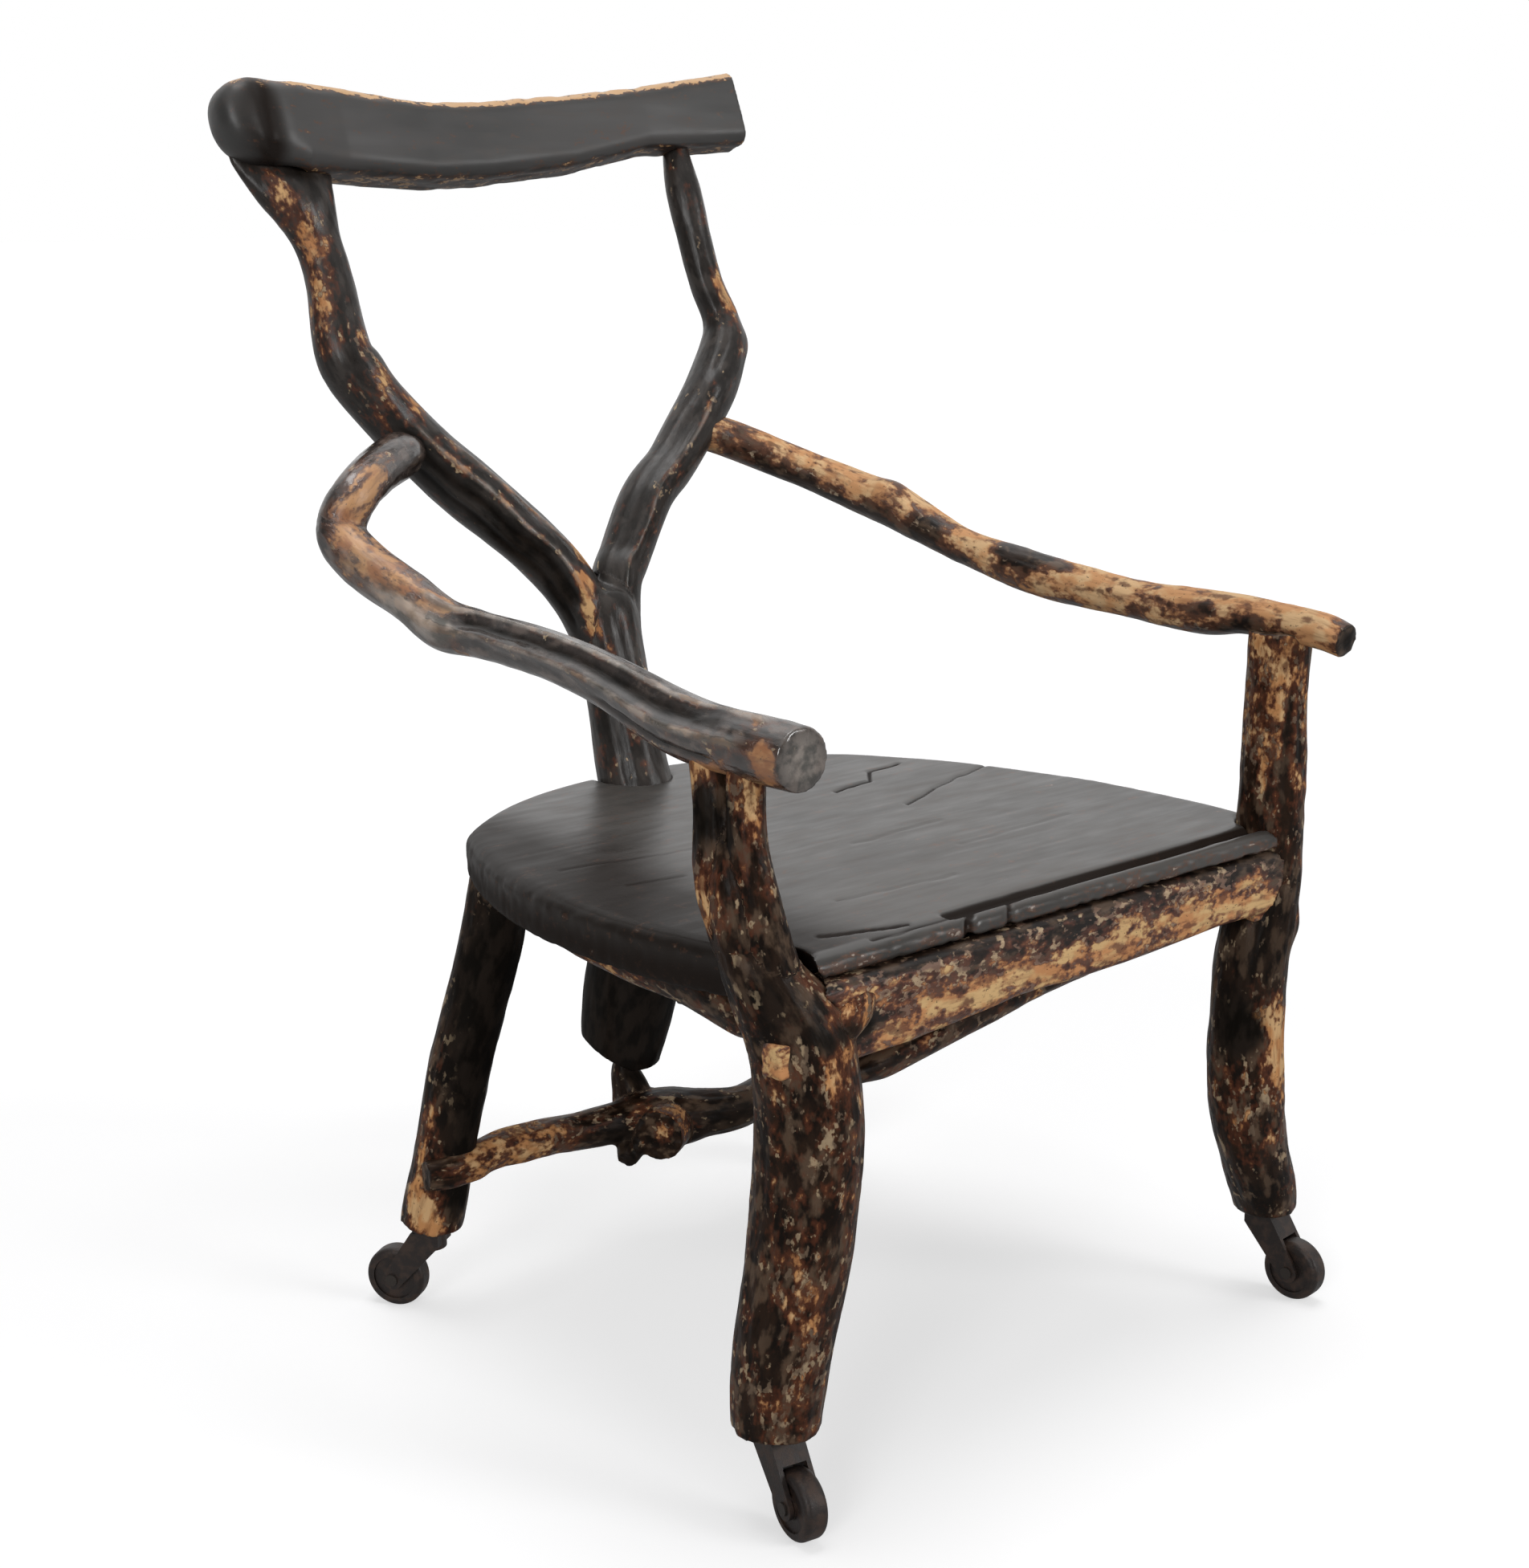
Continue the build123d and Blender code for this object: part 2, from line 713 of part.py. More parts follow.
def post_tenon(saddle, axis_height, grow=0.0):
    """The tenon that stands up from a post into its arm, or with `grow` its bore."""
    foot = Vector(saddle.X, saddle.Y, axis_height - post_tenon_root)
    top = Vector(saddle.X, saddle.Y, axis_height + arm_tenon_top + grow)
    return rod(foot, top, arm_tenon + 2 * grow)


def crosspin(saddle, axis_height, length, grow=0.0):
    """The pin that locks a post's tenon in its arm, driven from side to side."""
    middle = Vector(saddle.X, saddle.Y, axis_height)
    half = Vector(length / 2 + 4 * grow, 0, 0)
    return rod(middle - half, middle + half, pin_diameter + 2 * grow)


left_cope = arm_cope(left_arm_front, left_arm_behind, left_arm_diameter)
right_cope = arm_cope(right_arm_front, right_arm_behind, right_arm_diameter)
right_saddle = spot(right_post, post_setback, right_arm_height - right_arm_diameter / 2 + 5)
post_joints = [
    (rear_saddle, left_arm_height + 1, left_arm_diameter - 6),
    (front_saddle, left_arm_height, left_arm_diameter - 6),
    (right_saddle, right_arm_height, right_arm_diameter - 4),
]

with BuildPart() as front_left_leg:
    add(limb(front_left_stations, level_foot=True))
    # the swelling where the two stems part
    shoulder = [(0, 0, -2, 61.0), (-1, 4, 16, 57.0), (-1, 8, 38, 38.0)]
    add(limb([(left_exit + Vector(x, y, z), size) for x, y, z, size in shoulder]))
    add(limb(rear_stem_stations))
    add(limb(front_stem_stations))
    add(left_cope, mode=Mode.SUBTRACT)
    for saddle, axis_height, pin_length in post_joints[:2]:
        add(post_tenon(saddle, axis_height))
        add(crosspin(saddle, axis_height, pin_length, fit), mode=Mode.SUBTRACT)
    add(rail_tenon(left_tenon[0] - 20, *left_tenon[1:], fit), mode=Mode.SUBTRACT)
    add(rung(*rung_place, grow=fit), mode=Mode.SUBTRACT)
    add(rung(*left_side_place, grow=fit), mode=Mode.SUBTRACT)
    add(stem_bore(feet["front_left"]), mode=Mode.SUBTRACT)
finish(front_left_leg.part, "front_left_leg")

with BuildPart() as front_right_leg:
    post_middle = right_exit + (right_saddle - right_exit) * 0.5
    add(limb([*front_right_stations, (post_middle, 50.0), (right_saddle, 50.0)], level_foot=True, level_top=True))
    add(right_cope, mode=Mode.SUBTRACT)
    saddle, axis_height, pin_length = post_joints[2]
    add(post_tenon(saddle, axis_height))
    add(crosspin(saddle, axis_height, pin_length, fit), mode=Mode.SUBTRACT)
    add(rail_tenon(*right_tenon, fit), mode=Mode.SUBTRACT)
    add(rung(*rung_place, grow=fit), mode=Mode.SUBTRACT)
    add(rung(*right_side_place, grow=fit), mode=Mode.SUBTRACT)
    add(stem_bore(feet["front_right"]), mode=Mode.SUBTRACT)
finish(front_right_leg.part, "front_right_leg")

# ------------------------------------------------------------------ the back
trunk_stations = [
    (stump_foot, 71.0),
    *between(
        stump_foot,
        trunk_low,
        [(0.25, (-3, -4, 0), 72.0), (0.55, (-6, -8, 0), 70.0), (0.85, (-3, -7, 0), 64.0)],
    ),
    (trunk_low, trunk_diameter),
    (trunk_high, trunk_diameter),
    (on_back(trunk_x + 8, crotch_rise * 0.45), (56.0, 54.0)),
    (on_back(trunk_x + 12, crotch_rise * 0.78), (62.0, 52.0)),
    (on_back(trunk_x + 15, crotch_rise), (54.0, 44.0)),
]
tine_roots = (on_back(trunk_x + 4, crotch_rise * 0.68), on_back(trunk_x + 16, crotch_rise * 0.72))


def crest_tenon(top, diameter, grow=0.0):
    """The tenon on a tine's top, or with `grow` its mortise in the crest."""
    return rod(top - crest_up * 6, top + crest_up * (crest_tenon_length + grow), diameter + 2 * grow)


def crest_pin(top, grow=0.0):
    """The pin that locks a tine in the crest, driven from behind."""
    depth = Vector(0, -cos(lean), sin(lean))
    middle = top + crest_up * crest_tenon_length * 0.6
    return rod(middle - depth * (crest_thickness / 2 - 2 + 4 * grow), middle + depth * 9, pin_diameter + 2 * grow)


def coped_arm(stations, lengths, across):
    """An arm's branch: its last length is straight, and hollowed where it lies against its tine."""
    before, size = stations[-2]
    end = stations[-1][0]
    step_in = (end - before).normalized() * 2
    with BuildPart() as cuff:
        add(rod(before - step_in, end, size - 2))
        for (low, low_size), (high, high_size) in lengths:
            run = (high - low).normalized()
            cope = rod(low - run * 8, high + run * 8, max(low_size, high_size) + 2 * fit)
            add(cope, mode=Mode.SUBTRACT)
    with BuildPart() as branch:
        add(limb(stations[:-1], across=across, top_along=end - before))
        add(cuff.part)
    return branch.part


def arm_tine_tenon(arm_end, arm_before, joint, grow=0.0):
    """The tenon of an arm's back end in its tine."""
    run = (joint - arm_before).normalized()
    return rod(joint - run * tine_tenon_root, joint + run * (6 + grow), arm_tenon + 2 * grow)


left_arm_before = left_arm_stations[-2][0]
right_arm_before = right_arm_stations[-2][0]

with BuildPart() as forked_back:
    add(limb(trunk_stations, level_foot=True))
    add(limb([(tine_roots[0], 44.0), *left_tine_stations, (left_tine_top, (74.0, 42.0))], top_along=crest_up))
    add(limb([(tine_roots[1], 42.0), *right_tine_stations, (right_tine_top, (29.0, 29.0))], top_along=crest_up))
    add(crest_tenon(left_tine_top, left_crest_tenon))
    add(crest_tenon(right_tine_top, right_crest_tenon))
    for top in (left_tine_top, right_tine_top):
        add(crest_pin(top, fit), mode=Mode.SUBTRACT)
    add(arm_tine_tenon(left_arm_end, left_arm_before, left_tine_joint, fit), mode=Mode.SUBTRACT)
    add(arm_tine_tenon(right_arm_end, right_arm_before, right_tine_joint, fit), mode=Mode.SUBTRACT)
    add(spike_bore, mode=Mode.SUBTRACT)
finish(forked_back.part, "forked_back")

# each station of the crest: x, how far its underside and its top stand off the seat line up the
# lean, its thickness and how far it comes forward
crest_stations = [
    (-crest_left, 32, -14, 32, 8),
    (-crest_left + 8, 20, -2, 46, 9),
    (-crest_left + 30, 7, 6, 54, 9),
    (-crest_left + 66, 0, 1, 51, 5),
    (-crest_left + 110, 0, -1, crest_thickness + 2, 0),
    (-crest_left + 196, -4, -9, crest_thickness, -4),
    (-crest_left + 250, -2, -8, crest_thickness, -5),
    (crest_right - 190, 8, -1, crest_thickness - 1, -3),
    (crest_right - 106, crest_tilt, 7, crest_thickness - 2, 0),
    (crest_right - 30, crest_tilt, 16, crest_thickness - 3, 7),
    (crest_right, crest_tilt + 1, 20, crest_thickness - 5, 10),
]

with BuildPart() as crest_rail:
    for x, under, over, thickness, forward in crest_stations:
        low = crest_rise + under
        high = crest_rise + crest_height + over
        with BuildSketch(Plane(origin=on_back(x, (low + high) / 2, forward), x_dir=crest_up, z_dir=(1, 0, 0))):
            RectangleRounded(high - low, thickness, min(high - low, thickness) * 0.3)
    loft(ruled=True)
    add(crest_tenon(left_tine_top, left_crest_tenon, fit), mode=Mode.SUBTRACT)
    add(crest_tenon(right_tine_top, right_crest_tenon, fit), mode=Mode.SUBTRACT)
    for top in (left_tine_top, right_tine_top):
        add(crest_pin(top, fit), mode=Mode.SUBTRACT)
finish(crest_rail.part, "crest_rail")

with BuildPart() as crest_pins:
    for top in (left_tine_top, right_tine_top):
        add(crest_pin(top))
finish(crest_pins.part, "crest_pins")

# ------------------------------------------------------------------ arms
with BuildPart() as left_arm:
    add(coped_arm(left_arm_stations, left_tine_lengths, (1, 0, 0)))
    add(arm_tine_tenon(left_arm_end, left_arm_before, left_tine_joint))
    for saddle, axis_height, pin_length in post_joints[:2]:
        add(post_tenon(saddle, axis_height, fit), mode=Mode.SUBTRACT)
        add(crosspin(saddle, axis_height, pin_length, fit), mode=Mode.SUBTRACT)
finish(left_arm.part, "left_arm")

with BuildPart() as right_arm:
    add(coped_arm(right_arm_stations, right_tine_lengths, (0, 0, 1)))
    add(arm_tine_tenon(right_arm_end, right_arm_before, right_tine_joint))
    saddle, axis_height, pin_length = post_joints[2]
    add(post_tenon(saddle, axis_height, fit), mode=Mode.SUBTRACT)
    add(crosspin(saddle, axis_height, pin_length, fit), mode=Mode.SUBTRACT)
finish(right_arm.part, "right_arm")

with BuildPart() as arm_pins:
    for saddle, axis_height, pin_length in post_joints:
        add(crosspin(saddle, axis_height, pin_length))
finish(arm_pins.part, "arm_pins")

# ------------------------------------------------------------------ casters
wheel_radius = wheel_diameter / 2
cheek_inside = wheel_width / 2 + side_clearance
cheek_outside = cheek_inside + cheek_thickness
plate_top = leg_bottom - fit
plate_bottom = plate_top - caster_plate
hub_top = plate_bottom - side_clearance
hub_bottom = hub_top - horn_hub_height
recess_top = hub_bottom + horn_recess_depth


def caster(place, foot, angle):
    """One caster: the plate and stem fixed in the leg, the horn that swivels, its axle and wheel."""
    outward = Vector(cos(radians(angle)), sin(radians(angle)), 0)
    ground = Vector(foot.X, foot.Y, 0)
    swivel = Plane(origin=ground, x_dir=outward, z_dir=(0, 0, 1))
    upright = Plane(origin=ground, x_dir=outward, z_dir=outward.cross(Vector(0, 0, 1)))

    with BuildPart() as plate:
        with BuildSketch(swivel.offset(plate_bottom)):
            Circle(caster_plate_diameter / 2)
        extrude(amount=caster_plate)
        with BuildSketch(swivel.offset(plate_top)):
            Circle(stem_diameter / 2)
        extrude(amount=stem_length)
        chamfer(edges().sort_by(Axis.Z)[-1], stem_diameter / 4)
        with BuildSketch(swivel.offset(plate_bottom)):
            Circle(pintle_diameter / 2)
        extrude(amount=-(plate_bottom - recess_top + side_clearance))
        with BuildSketch(swivel.offset(recess_top - side_clearance)):
            Circle(pintle_diameter * 0.75)
        extrude(amount=-pintle_head)
    finish(plate.part, f"caster_plate_{place}")

    with BuildPart() as horn:
        with BuildSketch(upright):
            with Locations((trail, wheel_radius)):
                Circle(horn_boss_radius)
            with Locations((0, hub_top - horn_crown_height / 2)):
                Rectangle(horn_hub_diameter - 2, horn_crown_height)
            make_hull()
        extrude(amount=cheek_outside, both=True)
        with BuildSketch(upright):
            with Locations((trail, wheel_radius)):
                Circle(wheel_radius + wheel_clearance)
        extrude(amount=cheek_inside, both=True, mode=Mode.SUBTRACT)
        with BuildSketch(swivel.offset(hub_top)):
            Circle(horn_hub_diameter / 2)
        extrude(amount=-horn_hub_height)
        with BuildSketch(swivel.offset(hub_top)):
            Circle(pintle_diameter / 2 + running_fit)
        extrude(amount=-horn_hub_height, mode=Mode.SUBTRACT)
        with BuildSketch(swivel.offset(recess_top)):
            Circle(pintle_diameter * 0.75 + side_clearance)
        extrude(amount=-2 * horn_hub_height, mode=Mode.SUBTRACT)
        with BuildSketch(upright):
            with Locations((trail, wheel_radius)):
                Circle(axle_diameter / 2 + running_fit)
        extrude(amount=2 * cheek_outside, both=True, mode=Mode.SUBTRACT)
    finish(horn.part, f"caster_horn_{place}")

    with BuildPart() as axle:
        with BuildSketch(upright):
            with Locations((trail, wheel_radius)):
                Circle(axle_diameter / 2)
        extrude(amount=cheek_outside + axle_head, both=True)
        for side in (1, -1):
            with BuildSketch(upright.offset(side * (cheek_outside + running_fit))):
                with Locations((trail, wheel_radius)):
                    Circle(axle_diameter * 0.8)
            extrude(amount=side * axle_head)
    finish(axle.part, f"caster_axle_{place}")

    with BuildPart() as wheel:
        with BuildSketch(upright):
            with Locations((trail, wheel_radius)):
                Circle(wheel_radius)
        extrude(amount=wheel_width / 2, both=True)
        fillet(edges().filter_by(GeomType.CIRCLE), wheel_edge_radius)
        # a shallow dish in each face, between the hub and the tread
        for side in (1, -1):
            with BuildSketch(upright.offset(side * wheel_width / 2)):
                with Locations((trail, wheel_radius)):
                    Circle(wheel_radius * 0.72)
                    Circle(wheel_radius * 0.36, mode=Mode.SUBTRACT)
            extrude(amount=-side * wheel_dish, mode=Mode.SUBTRACT)
        with BuildSketch(upright):
            with Locations((trail, wheel_radius)):
                Circle(axle_diameter / 2 + running_fit)
        extrude(amount=wheel_width, both=True, mode=Mode.SUBTRACT)
    finish(wheel.part, f"caster_wheel_{place}")


for place, foot in feet.items():
    caster(place, foot, trail_angles[place])
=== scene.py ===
import math

import bpy
import numpy as np
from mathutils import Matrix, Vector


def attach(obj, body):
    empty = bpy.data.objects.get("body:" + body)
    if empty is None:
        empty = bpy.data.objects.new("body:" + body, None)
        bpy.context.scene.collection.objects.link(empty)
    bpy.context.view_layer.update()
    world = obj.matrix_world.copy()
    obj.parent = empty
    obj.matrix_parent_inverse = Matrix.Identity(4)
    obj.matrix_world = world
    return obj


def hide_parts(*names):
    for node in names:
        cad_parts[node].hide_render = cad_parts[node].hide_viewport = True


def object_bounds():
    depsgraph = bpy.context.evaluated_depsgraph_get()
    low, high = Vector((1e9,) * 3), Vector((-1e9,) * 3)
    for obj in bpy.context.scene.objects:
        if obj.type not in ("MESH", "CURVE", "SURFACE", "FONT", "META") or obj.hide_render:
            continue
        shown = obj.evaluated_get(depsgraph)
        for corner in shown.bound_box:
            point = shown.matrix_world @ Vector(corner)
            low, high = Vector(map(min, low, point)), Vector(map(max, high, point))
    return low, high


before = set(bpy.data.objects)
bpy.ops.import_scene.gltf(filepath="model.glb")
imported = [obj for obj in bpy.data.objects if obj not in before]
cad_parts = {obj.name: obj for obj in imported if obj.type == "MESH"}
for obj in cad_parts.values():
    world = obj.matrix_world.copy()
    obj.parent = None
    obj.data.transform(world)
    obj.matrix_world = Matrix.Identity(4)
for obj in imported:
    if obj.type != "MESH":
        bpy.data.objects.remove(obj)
cad_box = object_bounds()


# ---------------------------------------------------------------------------------------
# Front left leg: one oak branch with its bark off, sawn level at the foot. It passes the
# seat in a notch and forks above it into two thin stems, which end in the arm. Its paint,
# once nearly black, is worn through to a brown coat and to the wood.
# ---------------------------------------------------------------------------------------

MM = 0.001  # the chair's sizes are in millimetres
LEG_FOOT = 72  # how high the legs are sawn off, on top of their casters


def lattice_noise(places, size, seed):
    """Smooth random hills from -1 to 1, one about every size millimetres."""
    scaled = np.asarray(places, float) / size + 0.37 * seed
    cell = np.floor(scaled).astype(np.int64)
    part = scaled - cell
    part = part * part * (3 - 2 * part)
    scatter = np.array([73856093, 19349663, 83492791])  # primes, so that no pattern shows
    total = np.zeros(len(scaled))
    for corner in np.ndindex(2, 2, 2):
        key = (cell + corner) @ scatter + seed * 7919
        key = (key ^ (key >> 13)) * 1274126177
        height = ((key ^ (key >> 16)) & 0xFFFF) / 32767.5 - 1
        total += height * np.prod(np.where(corner, part, 1 - part), axis=1)
    return total


class Stick:
    """A stretch of branch. Each station is x, y, z, width and, where flattened, depth.

    The width lies across the branch, as near to the direction across as it can. Lengths along
    the branch are counted from begins.
    """

    STEP = 3  # about how far apart its rings of corners are

    def __init__(self, *stations, across=(1, 0, 0), begins=0.0):
        path = np.array([(*s[:4], s[-1]) for s in stations], float)
        path = np.vstack([2 * path[0] - path[1], path, 2 * path[-1] - path[-2]])
        bends = []
        for a, b, c, d in zip(path, path[1:], path[2:], path[3:]):
            count = max(2, int(np.linalg.norm(c[:3] - b[:3]) / self.STEP))
            t = np.arange(count)[:, None] / count
            cubic = (3 * b - a - 3 * c + d) * t**3
            square = (2 * a - 5 * b + 4 * c - d) * t**2
            bends.append(b + 0.5 * ((c - a) * t + square + cubic))
        line = np.vstack([*bends, path[-2:-1]])
        self.place, self.width, self.depth = line[:, :3], line[:, 3], line[:, 4]
        step = np.gradient(self.place, axis=0)
        self.ahead = step / np.linalg.norm(step, axis=1)[:, None]
        across = np.array(across, float)
        side = across - self.ahead * (self.ahead @ across)[:, None]
        self.side = side / np.linalg.norm(side, axis=1)[:, None]
        self.other = np.cross(self.ahead, self.side)
        lengths = np.linalg.norm(np.diff(self.place, axis=0), axis=1)
        self.along = begins + np.r_[0, np.cumsum(lengths)]


def plain_skin(sticks, sides=40):
    """Closed tubes over the sticks, before they are grown together."""
    corners, faces = [], []
    turn = np.linspace(0, 2 * math.pi, sides, endpoint=False)
    for stick in sticks:
        first = sum(len(c) for c in corners)
        wide = stick.side[:, None] * (stick.width[:, None] / 2 * np.cos(turn))[:, :, None]
        deep = stick.other[:, None] * (stick.depth[:, None] / 2 * np.sin(turn))[:, :, None]
        corners.append((stick.place[:, None] + wide + deep).reshape(-1, 3))
        rings = len(stick.place)
        around = np.arange(sides)
        for ring in range(rings - 1):
            low = first + ring * sides
            near, far = low + around, low + (around + 1) % sides
            faces += np.c_[near, far, far + sides, near + sides].tolist()
        faces.append((first + around[::-1]).tolist())
        faces.append((first + (rings - 1) * sides + around).tolist())
    return np.vstack(corners), faces


def grown(name, corners, faces, voxel, rounds=5):
    """One smooth closed skin over whatever solids the faces enclose, its corners voxel apart."""
    mesh = bpy.data.meshes.new(name)
    mesh.from_pydata((np.asarray(corners) * MM).tolist(), [], faces)
    piece = bpy.data.objects.new(name, mesh)
    bpy.context.scene.collection.objects.link(piece)
    skin = piece.modifiers.new("skin", "REMESH")
    skin.mode = "VOXEL"
    skin.voxel_size = voxel * MM
    smooth = piece.modifiers.new("smooth", "SMOOTH")
    smooth.factor = 0.5
    smooth.iterations = rounds
    view = bpy.context.evaluated_depsgraph_get()
    piece.data = bpy.data.meshes.new_from_object(piece.evaluated_get(view))
    piece.modifiers.clear()
    piece.data.materials.clear()
    piece.data.name = name
    return piece


def corners_of(piece):
    """The corners of a piece and the directions that its surface faces there, in mm."""
    count = len(piece.data.vertices)
    places, facing = np.zeros(count * 3), np.zeros(count * 3)
    piece.data.vertices.foreach_get("co", places)
    piece.data.vertices.foreach_get("normal", facing)
    return places.reshape(-1, 3) / MM, facing.reshape(-1, 3)


def along_sticks(places, sticks):
    """Where each place lies in its branch, and which way the branch runs there.

    The first is across the branch, across it the other way and along it.
    """
    line = np.vstack([s.place for s in sticks])
    girth = np.concatenate([np.sqrt(s.width * s.depth) for s in sticks])
    ahead = np.vstack([s.ahead for s in sticks])
    side = np.vstack([s.side for s in sticks])
    other = np.vstack([s.other for s in sticks])
    along = np.concatenate([s.along for s in sticks])
    nearest = np.zeros(len(places), int)
    batch = 4000  # places measured at a time
    for first in range(0, len(places), batch):
        part = places[first : first + batch]
        gap = np.linalg.norm(part[:, None] - line[None], axis=2) / girth[None]
        nearest[first : first + batch] = gap.argmin(1)
    away = places - line[nearest]
    run = ahead[nearest]
    u = (away * side[nearest]).sum(1)
    v = (away * other[nearest]).sum(1)
    return np.c_[u, v, along[nearest] + (away * run).sum(1)], run


def spots(places, run, marks, stretch=1.6):
    """Sum of soft spots, each x, y, z, reach and strength, drawn out along the run."""
    total = np.zeros(len(places))
    for x, y, z, reach, strength in marks:
        away = places - (x, y, z)
        lengthwise = (away * run).sum(1)
        square = (away**2).sum(1) - lengthwise**2 * (1 - 1 / stretch**2)
        total += strength * np.exp(-square / reach**2)
    return total


def shape_branch(
    piece, sticks, seed, rough=1.0, ridged=1.0, wear=0.0,
    worn=(), knots=(), grooves=(), shading_spots=(), low=None, high=None,
):
    """Gives a skin its lumps, ridges, knots and grooves, and notes its wear and its painted shade
    and highlights.

    Rough is how lumpy it is, ridged how far its grain stands out and wear how worn it is all
    over. Worn and knots are soft spots, and so are the spots of painted shade, which darken
    the colour; one of negative strength paints a pale highlight instead. A groove is the
    lengths where it starts and ends, its turn about the branch at each, its width and its
    depth. A negative depth makes a ridge. Low and high are where the piece is cut off level.
    """
    places, facing = corners_of(piece)
    grain, run = along_sticks(places, sticks)
    lumps = lattice_noise(grain * (1, 1, 0.45), 24, seed)
    ridges = lattice_noise(grain * (1, 1, 0.16), 6, seed + 1)
    fibres = lattice_noise(grain * (1, 1, 0.22), 3, seed + 2)
    relief = 0.5 * lumps + 0.35 * ridges + 0.2 * fibres
    lift = rough * (1.1 * lumps + 0.35 * fibres - 0.3) + 0.75 * ridged * np.minimum(ridges, 0.4)
    bosses = spots(places, run, knots, 1.1)
    lift += bosses
    turn = np.arctan2(grain[:, 1], grain[:, 0])
    girth = np.hypot(grain[:, 0], grain[:, 1])
    fade = 15  # how slowly a groove begins and ends
    cut = np.zeros(len(places))
    for start, end, first, last, width, depth in grooves:
        share = np.clip((grain[:, 2] - start) / (end - start), 0, 1)
        wander = 0.10 * lattice_noise(grain * (0, 0, 1), 35, seed + 5)
        off = turn - (first + (last - first) * share + wander)
        off = (off + math.pi) % (2 * math.pi) - math.pi
        inside = np.clip((grain[:, 2] - start) / fade, 0, 1)
        inside *= np.clip((end - grain[:, 2]) / fade, 0, 1)
        cut += depth * inside * np.exp(-((off * girth / width) ** 2))
    places = places + facing * (lift - cut)[:, None]
    if low is not None:
        places[:, 2] = np.maximum(places[:, 2], low)
    if high is not None:
        places[:, 2] = np.minimum(places[:, 2], high)
    # Painted shade at the spots and in the grooves, and a painted pale highlight along the ridges.
    painted_shading = spots(places, run, shading_spots) + 0.25 * np.maximum(cut, 0) + 0.45 * np.minimum(cut, 0)
    sawn = np.clip((np.abs((facing * run).sum(1)) - 0.7) / 0.2, 0, 1)
    wear = wear - 0.5 * sawn + spots(places, run, worn)
    finish_skin(piece, places, grain, wear, relief - 0.4 * cut, painted_shading)


def relaxed(piece, places, share, rounds):
    """Evens out the places of a skin's corners, most where share is 1."""
    ends = np.zeros(len(piece.data.edges) * 2, np.int32)
    piece.data.edges.foreach_get("vertices", ends)
    ends = ends.reshape(-1, 2)
    near, far = np.r_[ends[:, 0], ends[:, 1]], np.r_[ends[:, 1], ends[:, 0]]
    count = np.bincount(near, minlength=len(places))[:, None]
    for _ in range(rounds):
        sums = [np.bincount(near, places[far, axis], len(places)) for axis in range(3)]
        mean = np.stack(sums, 1) / count
        places = places + 0.6 * share[:, None] * (mean - places)
    return places


def finish_skin(piece, places, grain, wear, relief, painted_shading):
    """Moves a skin's corners, kept inside the chair's box, and stores what its finish reads."""
    inside = np.clip(places * MM, np.array(cad_box[0]), np.array(cad_box[1]))
    piece.data.vertices.foreach_set("co", inside.ravel())
    noted = piece.data.attributes.new("grain", "FLOAT_VECTOR", "POINT")
    noted.data.foreach_set("vector", np.ravel(grain * MM).astype(np.float32))
    # The last is painted shading: shade where it is above 0, a pale highlight where below.
    for key, values in (("wear", wear), ("relief", relief), ("painted_shading", painted_shading)):
        noted = piece.data.attributes.new(key, "FLOAT", "POINT")
        noted.data.foreach_set("value", values.astype(np.float32))
    piece.data.shade_smooth()
    piece.data.update()


class Shade:
    """A value or colour in a finish. Arithmetic on it adds the Math nodes that do it."""

    def __init__(self, finish, socket):
        self.finish, self.socket = finish, socket

    def worked(self, operation, first, second):
        return self.finish.node("ShaderNodeMath", {"operation": operation}, {0: first, 1: second})

    def __add__(self, other):
        return self.worked("ADD", self, other)

    def __sub__(self, other):
        return self.worked("SUBTRACT", self, other)

    def __rsub__(self, other):
        return self.worked("SUBTRACT", other, self)

    def __mul__(self, other):
        return self.worked("MULTIPLY", self, other)

    __radd__ = __add__
    __rmul__ = __mul__


